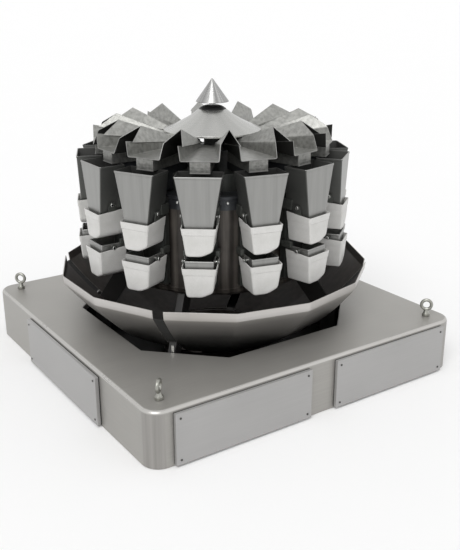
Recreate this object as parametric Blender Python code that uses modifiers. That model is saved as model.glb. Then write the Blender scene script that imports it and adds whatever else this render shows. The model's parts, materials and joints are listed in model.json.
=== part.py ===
"""Fourteen head rotary weigher on a square base, as separate solids.

Metres, +Z up. The origin is on the floor at the centre of the base. The front
of the machine faces -Y. Head 1 points along +X and the others follow it
counter-clockwise. A head is drawn in its own frame: x runs outwards from the
axis of the machine, y is tangential and z is up.
"""

import bmesh
import bpy
from math import atan2, cos, pi, radians, sin, sqrt
from mathutils import Matrix, Vector

GAP = 0.0003            # between neighbours that rest on each other
RUNNING_GAP = 0.006     # between a gate and what stands behind it

# Heads
HEADS = 14
PITCH = 2 * pi / HEADS
HALF_PITCH = PITCH / 2
PIVOT_RADIUS = 0.415    # ring of the gate pins, which the radii below follow

# Base housing, its height first because the bowl stands in it
BASE_HEIGHT = 0.182
BASE_CORNER_RADIUS = 0.056
BASE_TOP_RADIUS = 0.012
DECK_WIDTH = 0.180
WELL_FLOOR = 0.020
WELL_CHAMFER = 0.200

# Discharge funnel under the bowl
FUNNEL_STEPS = 28
SPOUT_RADIUS = 0.150
SPOUT_WALL = 0.003
SPOUT_FOOT = 0.004
SPOUT_FLANGE_REACH = 0.040
SPOUT_FLANGE_RADIUS = SPOUT_RADIUS + SPOUT_FLANGE_REACH
SPOUT_FLANGE_THICKNESS = 0.005
OUTLET_CLEARANCE = 0.010
OUTLET_HOLE_RADIUS = SPOUT_RADIUS + OUTLET_CLEARANCE
FUNNEL_RIM_DROP = 0.107
FUNNEL_RIM_HEIGHT = BASE_HEIGHT - FUNNEL_RIM_DROP
FUNNEL_FLARE = 0.030
FUNNEL_RIM_INNER = SPOUT_RADIUS + FUNNEL_FLARE
FUNNEL_RIM_WIDTH = 0.034
FUNNEL_RIM_OUTER = FUNNEL_RIM_INNER + FUNNEL_RIM_WIDTH
FUNNEL_WALL = 0.003
FUNNEL_FLARE_DROP = 0.029
SPOUT_TOP = FUNNEL_RIM_HEIGHT - FUNNEL_FLARE_DROP

# Collecting bowl, in four segments between the legs
BOWL_SHEET = 0.003
BOWL_DEPTH = 0.277
BOWL_RIM_HEIGHT = FUNNEL_RIM_HEIGHT + BOWL_DEPTH
BOWL_RIM_REACH = 0.126
BOWL_RIM_RADIUS = PIVOT_RADIUS + BOWL_RIM_REACH
BOWL_BAND = 0.028
BOWL_BAND_INSET = 0.004
BOWL_FOOT_SEAT = 0.017
BOWL_FOOT_RADIUS = FUNNEL_RIM_INNER + BOWL_FOOT_SEAT
BOWL_CURVE = 0.036
BOWL_STEPS = 5
BOWL_SLOT = 0.035
BOWL_CUTS = (1, 5, 8, 12)        # corners of the bowl where a leg passes

# Width of the base and of its well, which clears the bowl
BOWL_OVERHANG = 0.121
WELL_HALF_WIDTH = BOWL_RIM_RADIUS - BOWL_OVERHANG
WELL_CHAMFER_DISTANCE = (2 * WELL_HALF_WIDTH - WELL_CHAMFER) / sqrt(2)
BASE_SIDE = 2 * (WELL_HALF_WIDTH + DECK_WIDTH)

# Cover plates on the sides of the base
PLATE_THICKNESS = 0.0148
PLATE_LOW = 0.006
PLATE_TOP_MARGIN = 0.013
PLATE_HIGH = BASE_HEIGHT - PLATE_TOP_MARGIN
PLATE_LEFT_MARGIN = 0.072
PLATE_RIGHT_MARGIN = 0.065
PLATE_SPACE = 0.100
PLATE_SPACE_CENTRE = 0.005
SIDE_PLATE_WIDTH = 0.550
SIDE_PLATE_CENTRE = 0.015

# Lifting eyes
EYE_INSET = 0.068
EYE_OFFSET = BASE_SIDE / 2 - EYE_INSET
EYE_RING_RADIUS = 0.0168
EYE_BAR_RADIUS = 0.0055
EYE_COLLAR_RADIUS = 0.0135
EYE_COLLAR_HEIGHT = 0.011
EYE_SHANK_RADIUS = 0.0075
EYE_CENTRE_RISE = 0.030
EYE_CENTRE_HEIGHT = EYE_COLLAR_HEIGHT + EYE_CENTRE_RISE

# White hopper gates, each a tub that hangs on two side pins
TUB_SHEET = 0.0025
TUB_RIM_HALF_WIDTH = 0.0525
TUB_TAPER = 0.0125
TUB_FOOT_HALF_WIDTH = TUB_RIM_HALF_WIDTH - TUB_TAPER
TUB_CORNER = 0.006
TUB_FLAT_END = 0.008             # of the floor, which slopes up to one side from here
TUB_SLOPE_RISE = 0.016
TUB_REAR_REACH = 0.043
TUB_REAR = PIVOT_RADIUS - TUB_REAR_REACH
PIN_RADIUS = 0.0040
PIN_CLEARANCE = 0.0007
PIN_REACH = 0.0035
PIN_SIDES = 8
EAR_HALF_WIDTH = 0.0115
EAR_ABOVE_PIN = 0.009
EAR_PAD = 0.0006                 # how far an ear stands proud of the sheet, on both faces

# Heights of a head, from the weigh hopper up to the feed chute
SHEET = 0.0025
WEIGH_FOOT_RISE = 0.0205
WEIGH_FOOT = BOWL_RIM_HEIGHT + WEIGH_FOOT_RISE
WEIGH_DEPTH = 0.0952
WEIGH_RIM = WEIGH_FOOT + WEIGH_DEPTH
WEIGH_PIVOT_RISE = 0.0083
WEIGH_PIVOT = WEIGH_RIM + WEIGH_PIVOT_RISE
BAND_HEIGHT = 0.040
BAND_LAP = 0.0197
BAND_BOTTOM = WEIGH_RIM - BAND_LAP
BAND_TOP = BAND_BOTTOM + BAND_HEIGHT
POOL_FOOT_RISE = 0.015
POOL_FOOT = BAND_TOP + POOL_FOOT_RISE
POOL_DEPTH = 0.089
POOL_RIM = POOL_FOOT + POOL_DEPTH
POOL_PIVOT_RISE = 0.026
POOL_PIVOT = POOL_RIM + POOL_PIVOT_RISE
CHUTE_HEIGHT = 0.170
CHUTE_LAP = 0.017
CHUTE_BOTTOM = POOL_RIM - CHUTE_LAP
CHUTE_TOP = CHUTE_BOTTOM + CHUTE_HEIGHT
CASE_BOTTOM_DROP = 0.0005
CASE_BOTTOM = WEIGH_FOOT - CASE_BOTTOM_DROP
CASE_TOP_RISE = 0.037
CASE_TOP = POOL_PIVOT + CASE_TOP_RISE

# Fixed body of a head: drive case, feed chute above, weigh hopper body below
CASE_FRONT = TUB_REAR - RUNNING_GAP
CASE_DEPTH = 0.026
CASE_HALF_WIDTH = 0.046
BODY_APOTHEM = CASE_FRONT - CASE_DEPTH
CASE_BACK = BODY_APOTHEM + GAP
CASE_OVERLAP = 0.0005            # of the sheets that are welded to the case
CHUTE_SIDE_INSET = 0.0113
CHUTE_BOTTOM_HALF_WIDTH = TUB_RIM_HALF_WIDTH - CHUTE_SIDE_INSET
CHUTE_SIDE_FLARE = 0.0298
CHUTE_TOP_HALF_WIDTH = CHUTE_BOTTOM_HALF_WIDTH + CHUTE_SIDE_FLARE
CHUTE_FRONT_REACH = 0.037
CHUTE_BOTTOM_FRONT = PIVOT_RADIUS + CHUTE_FRONT_REACH
CHUTE_FRONT_LEAN = 0.005
CHUTE_TOP_FRONT = CHUTE_BOTTOM_FRONT + CHUTE_FRONT_LEAN
CHUTE_BOTTOM_BACK = CASE_FRONT - CASE_OVERLAP
CHUTE_BACK_LEAN = 0.008
CHUTE_TOP_BACK = CASE_FRONT + CHUTE_BACK_LEAN
CHUTE_NOTCH_MARGIN = 0.003       # round the foot of the pan, in the back wall of the chute
BAND_FRONT_REACH = 0.040
BAND_FRONT = PIVOT_RADIUS + BAND_FRONT_REACH
BAND_BACK = CASE_FRONT - CASE_OVERLAP
BAND_SIDE_INSET = 0.0078
BAND_TOP_HALF_WIDTH = TUB_RIM_HALF_WIDTH - BAND_SIDE_INSET
BAND_SIDE_TAPER = 0.0031
BAND_BOTTOM_HALF_WIDTH = BAND_TOP_HALF_WIDTH - BAND_SIDE_TAPER
POOL_FRONT_SPACE = 0.0115
POOL_RIM_FRONT = CHUTE_BOTTOM_FRONT + POOL_FRONT_SPACE
POOL_FRONT_LEAN = 0.0040
POOL_FOOT_FRONT = POOL_RIM_FRONT - POOL_FRONT_LEAN
WEIGH_FRONT_SPACE = 0.0105
WEIGH_RIM_FRONT = BAND_FRONT + WEIGH_FRONT_SPACE
WEIGH_FRONT_LEAN = 0.0065
WEIGH_FOOT_FRONT = WEIGH_RIM_FRONT - WEIGH_FRONT_LEAN

# Centre body, legs and feeder drives
BODY_BOTTOM_DROP = 0.017
BODY_BOTTOM = BOWL_RIM_HEIGHT - BODY_BOTTOM_DROP
BODY_TOP_RISE = 0.005
BODY_TOP = CASE_TOP + BODY_TOP_RISE
DECK_INSET = 0.055
DECK_RADIUS = BODY_APOTHEM - DECK_INSET
LEG_THICKNESS = 0.025
LEG_DEPTH = 0.055
LEG_CLEARANCE = 0.0125
LEG_FOOT_OUTER = WELL_CHAMFER_DISTANCE - LEG_CLEARANCE
LEG_FOOT_INNER = LEG_FOOT_OUTER - LEG_DEPTH
LEG_KNEE_DROP = 0.017
LEG_KNEE_HEIGHT = BASE_HEIGHT - LEG_KNEE_DROP
LEG_TOP_INSET = 0.004
LEG_TOP_OUTER = BODY_APOTHEM - LEG_TOP_INSET
LEG_TOP_DEPTH = 0.066
LEG_TOP_INNER = LEG_TOP_OUTER - LEG_TOP_DEPTH
FEEDER_DRIVE_INSET = 0.004
FEEDER_DRIVE_OUTER = CASE_FRONT - FEEDER_DRIVE_INSET
FEEDER_DRIVE_WIDTH = 0.052
FEEDER_DRIVE_SPACE = 0.006
FEEDER_DRIVE_BOTTOM = BODY_TOP + FEEDER_DRIVE_SPACE
FEEDER_DRIVE_DROP = 0.004
FEEDER_DRIVE_TOP = CHUTE_TOP - FEEDER_DRIVE_DROP

# Radial feeder pans, and the cones above them
TURN_STEPS = 42
PAN_SHEET = 0.0024
PAN_FLOOR_RISE = 0.034
PAN_FLOOR = CHUTE_TOP + PAN_FLOOR_RISE
POST_RADIUS = 0.030
POST_TOP_RISE = 0.021
POST_TOP = PAN_FLOOR + POST_TOP_RISE
CONE_RIM_RADIUS = 0.165
CONE_RIM_RISE = 0.033
CONE_RIM_HEIGHT = PAN_FLOOR + CONE_RIM_RISE
CONE_RISE = 0.0785
CONE_TOP = CONE_RIM_HEIGHT + CONE_RISE
CONE_SHOULDERS = ((0.08, 0.994), (0.22, 0.924), (0.46, 0.56), (0.76, 0.22))     # of the radius, of the rise
CONE_LIP = 0.006
CONE_SHEET = 0.003
CONE_BOSS_RADIUS = 0.040
CONE_BOSS_DROP = 0.0325
CONE_BOSS_TOP = CONE_TOP - CONE_BOSS_DROP
CAP_RADIUS = 0.0556
CAP_BASE_RISE = 0.0115
CAP_BASE = CONE_TOP + CAP_BASE_RISE
CAP_EDGE = 0.002
CAP_RISE = 0.075
CAP_STEM_RADIUS = 0.011
PAN_CONE_LAP = 0.025
PAN_INNER = CONE_RIM_RADIUS - PAN_CONE_LAP
PAN_CHUTE_REACH = 0.031
PAN_OUTER = CHUTE_TOP_BACK + PAN_CHUTE_REACH
PAN_FLOOR_ANGLE = radians(8.2)
PAN_WALL_ANGLE = radians(9.0)
PAN_WALL_RISE = 0.046
PAN_WALL_TOP = PAN_FLOOR + PAN_WALL_RISE
PAN_WALL_RISE_INNER = 0.005
PAN_WALL_TOP_INNER = PAN_FLOOR + PAN_WALL_RISE_INNER
PAN_FOOT_WIDTH = 0.062
PAN_FOOT_INSET = 0.009
PAN_FOOT_OUTER = PAN_OUTER - PAN_FOOT_INSET
RIDGE_ANGLE = radians(14.4)
RIDGE_DRIP_ANGLE = radians(18.0)  # of the free edge, which hangs inside the next pan's wall
RIDGE_FOOT_RISE = 0.047
RIDGE_FOOT = PAN_FLOOR + RIDGE_FOOT_RISE
RIDGE_DRIP_RISE = 0.040
RIDGE_DRIP = PAN_FLOOR + RIDGE_DRIP_RISE
RIDGE_FOOT_RISE_INNER = 0.009
RIDGE_FOOT_INNER = PAN_FLOOR + RIDGE_FOOT_RISE_INNER
RIDGE_FOOT_INSET = 0.019
RIDGE_FOOT_OUTER = PAN_OUTER - RIDGE_FOOT_INSET
RIDGE_PEAK_RISE = 0.082
RIDGE_PEAK = PAN_FLOOR + RIDGE_PEAK_RISE
RIDGE_PEAK_RISE_INNER = 0.014
RIDGE_PEAK_INNER = PAN_FLOOR + RIDGE_PEAK_RISE_INNER
RIDGE_PEAK_INSET = 0.080
RIDGE_PEAK_OUTER = PAN_OUTER - RIDGE_PEAK_INSET
PAN_HUB_LAP = 0.016
PAN_HUB_OUTER = PAN_INNER + PAN_HUB_LAP
PAN_HUB_REACH = 0.014
PAN_HUB_INNER = PAN_INNER - PAN_HUB_REACH
PAN_HUB_THICKNESS = 0.014
PAN_FOOT_SETBACK = 0.059
PAN_FOOT_INNER = PAN_HUB_OUTER + PAN_FOOT_SETBACK
FEEDER_DRIVE_SHELF = 0.015
FEEDER_DRIVE_INNER = PAN_FOOT_INNER - FEEDER_DRIVE_SHELF

STEEL = (0.37, 0.355, 0.34)
BRIGHT_STEEL = (0.50, 0.50, 0.49)
DARK_STEEL = (0.055, 0.050, 0.046)
WHITE = (0.80, 0.80, 0.77)


def clear_scene():
    """Remove what the start file holds."""
    for item in list(bpy.data.objects):
        bpy.data.objects.remove(item, do_unlink=True)


def make_collection(name):
    """A collection linked to the scene."""
    group = bpy.data.collections.new(name)
    bpy.context.scene.collection.children.link(group)
    return group


def make_material(name, colour, roughness, metallic):
    """A plain Principled material."""
    material = bpy.data.materials.new(name)
    material.use_nodes = True
    shader = material.node_tree.nodes["Principled BSDF"]
    shader.inputs["Base Color"].default_value = (*colour, 1.0)
    shader.inputs["Roughness"].default_value = roughness
    shader.inputs["Metallic"].default_value = metallic
    return material


def polar(radius, angle, z):
    """A point given by its distance from the axis, its angle and its height."""
    return Vector((radius * cos(angle), radius * sin(angle), z))


def add_object(name, mesh, group, material=None):
    """Put a mesh in a collection under a name."""
    item = bpy.data.objects.new(name, mesh)
    group.objects.link(item)
    if material is not None and not mesh.materials:
        mesh.materials.append(material)
    return item


def mesh_from(bm, name):
    """Close a bmesh into mesh data with its faces pointing out."""
    bmesh.ops.recalc_face_normals(bm, faces=bm.faces)
    mesh = bpy.data.meshes.new(name)
    bm.to_mesh(mesh)
    bm.free()
    return mesh


def box_mesh(name, low, high):
    """A box between two corners."""
    bm = bmesh.new()
    size = [b - a for a, b in zip(low, high)]
    centre = [(a + b) / 2 for a, b in zip(low, high)]
    bmesh.ops.create_cube(bm, size=1.0, matrix=Matrix.Translation(centre) @ Matrix.Diagonal((*size, 1)))
    return mesh_from(bm, name)


def tapered_box_mesh(name, foot, rim):
    """A box whose foot and rim differ: each is (x low, x high, half width, z)."""
    bm = bmesh.new()
    bmesh.ops.create_cube(bm, size=2.0)
    for vert in bm.verts:
        x_low, x_high, half_width, z = rim if vert.co.z > 0 else foot
        x = x_high if vert.co.x > 0 else x_low
        vert.co = Vector((x, half_width * vert.co.y, z))
    return mesh_from(bm, name)


def prism_mesh(name, outline, low, high, to_point):
    """An outline of (u, v) pairs drawn out from low to high."""
    bm = bmesh.new()
    face = bm.faces.new([bm.verts.new(to_point(u, v, low)) for u, v in outline])
    rise = Vector(to_point(0, 0, high)) - Vector(to_point(0, 0, low))
    new = bmesh.ops.extrude_face_region(bm, geom=[face])["geom"]
    moved = [item for item in new if isinstance(item, bmesh.types.BMVert)]
    bmesh.ops.translate(bm, verts=moved, vec=rise)
    return mesh_from(bm, name)


def upright(u, v, w):
    """Outline in plan, drawn out along z."""
    return (u, v, w)


def sideways(u, v, w):
    """Outline in the x z plane, drawn out along y."""
    return (u, w, v)


def rod_mesh(name, radius, low, high, centre, sides=PIN_SIDES):
    """A round rod along y, at centre (x, z)."""
    bm = bmesh.new()
    bmesh.ops.create_cone(
        bm, cap_ends=True, segments=sides, radius1=radius, radius2=radius, depth=high - low)
    place = Matrix.Translation((centre[0], (low + high) / 2, centre[1])) @ Matrix.Rotation(pi / 2, 4, "X")
    bmesh.ops.transform(bm, matrix=place, verts=bm.verts)
    return mesh_from(bm, name)


def drum_mesh(name, radius, low, high, sides):
    """An upright drum on the axis of the machine."""
    bm = bmesh.new()
    bmesh.ops.create_cone(
        bm, cap_ends=True, segments=sides, radius1=radius, radius2=radius, depth=high - low)
    bmesh.ops.transform(bm, matrix=Matrix.Translation((0, 0, (low + high) / 2)), verts=bm.verts)
    return mesh_from(bm, name)


def sided_mesh(name, apothem, low, high):
    """An upright prism with one flat side for each head."""
    corner = apothem / cos(HALF_PITCH)
    outline = [polar(corner, HALF_PITCH + number * PITCH, 0).xy for number in range(HEADS)]
    return prism_mesh(name, outline, low, high, upright)


def turned_mesh(name, profile, group, closed, turn_steps=TURN_STEPS):
    """A profile of (radius, z) pairs turned about the axis of the machine."""
    mesh = bpy.data.meshes.new(name)
    edges = [(i, i + 1) for i in range(len(profile) - 1)]
    if closed:
        edges.append((len(profile) - 1, 0))
    mesh.from_pydata([(radius, 0, z) for radius, z in profile], edges, [])
    item = add_object(name, mesh, group)
    screw = item.modifiers.new("turn", "SCREW")
    screw.steps = turn_steps
    screw.render_steps = turn_steps
    screw.use_merge_vertices = True
    screw.merge_threshold = 0.00005
    result = baked_mesh(item, name)
    bpy.data.objects.remove(item, do_unlink=True)
    bm = bmesh.new()
    bm.from_mesh(result)
    return mesh_from(bm, name)


def baked_mesh(item, name):
    """The mesh of an object with its modifiers applied."""
    bpy.context.view_layer.update()
    seen = item.evaluated_get(bpy.context.evaluated_depsgraph_get())
    mesh = bpy.data.meshes.new_from_object(seen)
    mesh.name = name
    return mesh


def combine(name, body, steps, group):
    """Join or cut a mesh by others, given as (operation, mesh) pairs."""
    item = add_object(name, body, group)
    tools = []
    for number, (operation, mesh) in enumerate(steps):
        tool = add_object(f"{name}_tool_{number}", mesh, group)
        tool.hide_render = True
        tool.display_type = "WIRE"
        tools.append(tool)
        cut = item.modifiers.new(f"step_{number}", "BOOLEAN")
        cut.operation = operation
        cut.solver = "EXACT"
        cut.object = tool
    result = baked_mesh(item, name)
    for used in [item, *tools]:
        bpy.data.objects.remove(used, do_unlink=True)
    return result


def shade(mesh, angle=30):
    """Smooth shading with sharp edges where faces meet at more than an angle."""
    mesh.shade_smooth()
    mesh.set_sharp_from_angle(angle=radians(angle))


def well_outline(grow=0.0):
    """The eight corners of the opening in the base."""
    wide = WELL_HALF_WIDTH + grow
    straight = wide - WELL_CHAMFER
    corners = ((wide, straight), (straight, wide), (-straight, wide), (-wide, straight))
    return [*corners, *[(-x, -y) for x, y in corners]]


def housing_mesh(group):
    """The square housing with its rounded edges, before the well is cut."""
    half = BASE_SIDE / 2
    item = add_object("housing", box_mesh("housing", (-half, -half, 0), (half, half, BASE_HEIGHT)), group)
    bm = bmesh.new()
    bm.from_mesh(item.data)
    uprights = [e for e in bm.edges if abs(e.verts[0].co.z - e.verts[1].co.z) > BASE_HEIGHT / 2]
    bmesh.ops.bevel(bm, geom=uprights, offset=BASE_CORNER_RADIUS, segments=5, affect="EDGES", profile=0.5)
    top = [e for e in bm.edges if min(v.co.z for v in e.verts) > BASE_HEIGHT - GAP]
    bmesh.ops.bevel(bm, geom=top, offset=BASE_TOP_RADIUS, segments=3, affect="EDGES", profile=0.5)
    bpy.data.objects.remove(item, do_unlink=True)
    return mesh_from(bm, "housing")


def plate_meshes():
    """The cover plates of all four sides, the rear ones turned from the front."""
    half = BASE_SIDE / 2
    long_plate = (-half + PLATE_LEFT_MARGIN, PLATE_SPACE_CENTRE - PLATE_SPACE / 2)
    short_plate = (PLATE_SPACE_CENTRE + PLATE_SPACE / 2, half - PLATE_RIGHT_MARGIN)
    side_plate = (SIDE_PLATE_CENTRE - SIDE_PLATE_WIDTH / 2, SIDE_PLATE_CENTRE + SIDE_PLATE_WIDTH / 2)
    sides = (
        (0.0, (long_plate, short_plate)), (pi, (long_plate, short_plate)),
        (-pi / 2, (side_plate,)), (pi / 2, (side_plate,)))
    for turn, spans in sides:
        for low, high in spans:
            inner = -half + BASE_TOP_RADIUS
            mesh = box_mesh("plate", (low, -half - PLATE_THICKNESS, PLATE_LOW), (high, inner, PLATE_HIGH))
            mesh.transform(Matrix.Rotation(turn, 4, "Z"))
            yield mesh


def build_base(group, cutters, material):
    """Housing, cover plates, well and outlet hole as one body."""
    steps = [("UNION", mesh) for mesh in plate_meshes()]
    well = prism_mesh("well", well_outline(), WELL_FLOOR, BASE_HEIGHT + BASE_TOP_RADIUS, upright)
    steps.append(("DIFFERENCE", well))
    hole = drum_mesh("outlet_hole", OUTLET_HOLE_RADIUS, -BASE_TOP_RADIUS, 2 * WELL_FLOOR, FUNNEL_STEPS)
    steps.append(("DIFFERENCE", hole))
    mesh = combine("base_housing", housing_mesh(cutters), steps, cutters)
    shade(mesh)
    return add_object("base_housing", mesh, group, material)


def eye_mesh(cutters):
    """One lifting eye, its foot at the origin and its ring in the x z plane."""
    bpy.ops.mesh.primitive_torus_add(
        major_radius=EYE_RING_RADIUS, minor_radius=EYE_BAR_RADIUS, major_segments=14, minor_segments=6,
        location=(0, 0, EYE_CENTRE_HEIGHT), rotation=(pi / 2, 0, 0))
    ring = bpy.context.object
    mesh = ring.data.copy()
    mesh.transform(ring.matrix_world)
    bpy.data.objects.remove(ring, do_unlink=True)
    collar = drum_mesh("collar", EYE_COLLAR_RADIUS, 0, EYE_COLLAR_HEIGHT, 12)
    shank_top = EYE_CENTRE_HEIGHT - EYE_RING_RADIUS
    shank = drum_mesh("shank", EYE_SHANK_RADIUS, EYE_COLLAR_HEIGHT / 2, shank_top, 8)
    result = combine("lifting_eye", mesh, [("UNION", collar), ("UNION", shank)], cutters)
    shade(result)
    return result


def build_eyes(group, cutters, material):
    """A lifting eye near each corner of the base, its ring in line with the diagonal."""
    mesh = eye_mesh(cutters)
    places = (("front_left", -1, -1), ("front_right", 1, -1), ("rear_right", 1, 1), ("rear_left", -1, 1))
    for name, x, y in places:
        item = add_object(f"lifting_eye_{name}", mesh, group, material)
        item.location = (x * EYE_OFFSET, y * EYE_OFFSET, BASE_HEIGHT + GAP)
        item.rotation_euler.z = atan2(y, x)


def build_discharge(group, cutters, material):
    """The funnel that the bowl empties into, with its spout and its flange."""
    inner, outer = SPOUT_RADIUS, SPOUT_RADIUS + SPOUT_WALL
    flange = WELL_FLOOR + GAP
    flange_top = flange + SPOUT_FLANGE_THICKNESS
    rim_low = FUNNEL_RIM_HEIGHT - FUNNEL_WALL
    profile = (
        (inner, SPOUT_FOOT), (inner, SPOUT_TOP), (FUNNEL_RIM_INNER, FUNNEL_RIM_HEIGHT),
        (FUNNEL_RIM_OUTER, FUNNEL_RIM_HEIGHT), (FUNNEL_RIM_OUTER, rim_low),
        (FUNNEL_RIM_INNER + FUNNEL_WALL, rim_low), (outer, SPOUT_TOP - FUNNEL_WALL), (outer, flange_top),
        (SPOUT_FLANGE_RADIUS, flange_top), (SPOUT_FLANGE_RADIUS, flange), (outer, flange),
        (outer, SPOUT_FOOT))
    mesh = turned_mesh("discharge_funnel", profile, cutters, closed=True, turn_steps=FUNNEL_STEPS)
    shade(mesh)
    return add_object("discharge_funnel", mesh, group, material)


def bowl_profile():
    """Corner radius and height down the bowl: an upright band, then a curved slope."""
    points = [(BOWL_RIM_RADIUS, BOWL_RIM_HEIGHT)]
    start = Vector((BOWL_RIM_RADIUS - BOWL_BAND_INSET, BOWL_RIM_HEIGHT - BOWL_BAND))
    end = Vector((BOWL_FOOT_RADIUS, FUNNEL_RIM_HEIGHT + GAP))
    chord = end - start
    outward = Vector((-chord.y, chord.x)).normalized()
    for step in range(BOWL_STEPS + 1):
        share = step / BOWL_STEPS
        point = start + chord * share + outward * BOWL_CURVE * sin(pi * share)
        points.append((point.x, point.y))
    return points


def bowl_segment_mesh(first, last):
    """One segment of the bowl between two of its corners, a slot's half width short at each."""
    profile = bowl_profile()
    bm = bmesh.new()
    columns = []
    for number in range(first, last + 1):
        column = []
        for radius, z in profile:
            corner = polar(radius, HALF_PITCH + number * PITCH, z)
            if number in (first, last):
                step = 1 if number == first else -1
                neighbour = polar(radius, HALF_PITCH + (number + step) * PITCH, z)
                short = BOWL_SLOT / 2 / cos(HALF_PITCH)
                corner = corner + (neighbour - corner).normalized() * short
            column.append(bm.verts.new(corner))
        columns.append(column)
    for left, right in zip(columns, columns[1:]):
        for row in range(len(profile) - 1):
            bm.faces.new((left[row], right[row], right[row + 1], left[row + 1]))
    mesh = bpy.data.meshes.new("bowl_surface")
    bm.to_mesh(mesh)
    bm.free()
    return mesh


def build_bowl(group, cutters, material):
    """The four segments of the collecting bowl."""
    names = ("rear", "left", "front", "right")
    ends = [*BOWL_CUTS, BOWL_CUTS[0] + HEADS]
    for name, first, last in zip(names, ends, ends[1:]):
        surface = add_object("bowl_surface", bowl_segment_mesh(first, last), cutters)
        shell = surface.modifiers.new("sheet", "SOLIDIFY")
        shell.thickness = BOWL_SHEET
        shell.offset = 1.0
        shell.use_even_offset = True
        mesh = baked_mesh(surface, f"bowl_segment_{name}")
        bpy.data.objects.remove(surface, do_unlink=True)
        foot = box_mesh("foot", (-1, -1, -1), (1, 1, FUNNEL_RIM_HEIGHT + GAP))
        mesh = combine(f"bowl_segment_{name}", mesh, [("DIFFERENCE", foot)], cutters)
        shade(mesh, 12)
        add_object(f"bowl_segment_{name}", mesh, group, material)


def leg_mesh(number):
    """A leg that passes through a slot of the bowl and carries the centre body."""
    outline = (
        (LEG_FOOT_INNER, WELL_FLOOR + GAP), (LEG_FOOT_OUTER, WELL_FLOOR + GAP),
        (LEG_FOOT_OUTER, LEG_KNEE_HEIGHT), (LEG_TOP_OUTER, BODY_BOTTOM),
        (LEG_TOP_OUTER - LEG_THICKNESS, BODY_BOTTOM + LEG_THICKNESS),
        (LEG_TOP_INNER, BODY_BOTTOM + LEG_THICKNESS), (LEG_TOP_INNER, BODY_BOTTOM - LEG_THICKNESS),
        (LEG_FOOT_INNER, LEG_KNEE_HEIGHT - LEG_THICKNESS))
    mesh = prism_mesh("leg", outline, -LEG_THICKNESS / 2, LEG_THICKNESS / 2, sideways)
    mesh.transform(Matrix.Rotation(HALF_PITCH + number * PITCH, 4, "Z"))
    return mesh


def build_centre(group, cutters, material):
    """The drive housing in the middle, with its legs, feeder drives and centre post."""
    body = sided_mesh("centre_body", BODY_APOTHEM, BODY_BOTTOM, BODY_TOP)
    overlap = LEG_THICKNESS
    deck_top = FEEDER_DRIVE_TOP - overlap
    steps = [("UNION", drum_mesh("deck", DECK_RADIUS, BODY_TOP - overlap, deck_top, 2 * HEADS))]
    steps += [("UNION", leg_mesh(number)) for number in BOWL_CUTS]
    half = FEEDER_DRIVE_WIDTH / 2
    for number in range(HEADS):
        drive = box_mesh(
            "drive", (FEEDER_DRIVE_INNER, -half, FEEDER_DRIVE_BOTTOM),
            (FEEDER_DRIVE_OUTER, half, FEEDER_DRIVE_TOP))
        drive.transform(Matrix.Rotation(number * PITCH, 4, "Z"))
        steps.append(("UNION", drive))
    steps.append(("UNION", drum_mesh("post", POST_RADIUS, deck_top - overlap, POST_TOP, HEADS)))
    mesh = combine("centre_body", body, steps, cutters)
    return add_object("centre_body", mesh, group, material)


def pan_sections():
    """The sheet of one pan and its ridge, as points at its inner and its outer end."""
    inner = (
        (PAN_INNER, -PAN_WALL_ANGLE, PAN_WALL_TOP_INNER), (PAN_INNER, -PAN_FLOOR_ANGLE, PAN_FLOOR),
        (PAN_INNER, PAN_FLOOR_ANGLE, PAN_FLOOR), (PAN_INNER, PAN_WALL_ANGLE, RIDGE_FOOT_INNER),
        (PAN_INNER, RIDGE_ANGLE, RIDGE_PEAK_INNER), (PAN_INNER, RIDGE_DRIP_ANGLE, RIDGE_FOOT_INNER))
    outer = (
        (PAN_OUTER, -PAN_WALL_ANGLE, PAN_WALL_TOP), (PAN_OUTER, -PAN_FLOOR_ANGLE, PAN_FLOOR),
        (PAN_OUTER, PAN_FLOOR_ANGLE, PAN_FLOOR), (RIDGE_FOOT_OUTER, PAN_WALL_ANGLE, RIDGE_FOOT),
        (RIDGE_PEAK_OUTER, RIDGE_ANGLE, RIDGE_PEAK), (RIDGE_FOOT_OUTER, RIDGE_DRIP_ANGLE, RIDGE_DRIP))
    return inner, outer


def pan_mesh(cutters):
    """One pan with its ridge as a folded sheet, and the foot that stands on its drive."""
    bm = bmesh.new()
    rows = [[bm.verts.new(polar(*point)) for point in section] for section in pan_sections()]
    for side in range(len(rows[0]) - 1):
        bm.faces.new((rows[0][side], rows[1][side], rows[1][side + 1], rows[0][side + 1]))
    mesh = bpy.data.meshes.new("pan_sheet")
    bm.to_mesh(mesh)
    bm.free()
    sheet = add_object("pan_sheet", mesh, cutters)
    shell = sheet.modifiers.new("sheet", "SOLIDIFY")
    shell.thickness = PAN_SHEET
    shell.offset = 0.0
    shell.use_even_offset = True
    result = baked_mesh(sheet, "pan")
    bpy.data.objects.remove(sheet, do_unlink=True)
    half = PAN_FOOT_WIDTH / 2
    foot = box_mesh(
        "foot", (PAN_FOOT_INNER, -half, FEEDER_DRIVE_TOP + GAP), (PAN_FOOT_OUTER, half, PAN_FLOOR))
    return combine("pan", result, [("UNION", foot)], cutters)


def build_pans(group, cutters, material):
    """The fourteen pans, held together by a hub ring under the dispersion cone."""
    low, high = PAN_FLOOR - PAN_HUB_THICKNESS, PAN_FLOOR
    profile = ((PAN_HUB_INNER, high), (PAN_HUB_OUTER, high), (PAN_HUB_OUTER, low), (PAN_HUB_INNER, low))
    hub = turned_mesh("hub", profile, cutters, closed=True)
    pan = pan_mesh(cutters)
    steps = []
    for number in range(HEADS):
        copy = pan.copy()
        copy.transform(Matrix.Rotation(number * PITCH, 4, "Z"))
        steps.append(("UNION", copy))
    mesh = combine("feeder_pans", hub, steps, cutters)
    return add_object("feeder_pans", mesh, group, material)


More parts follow.
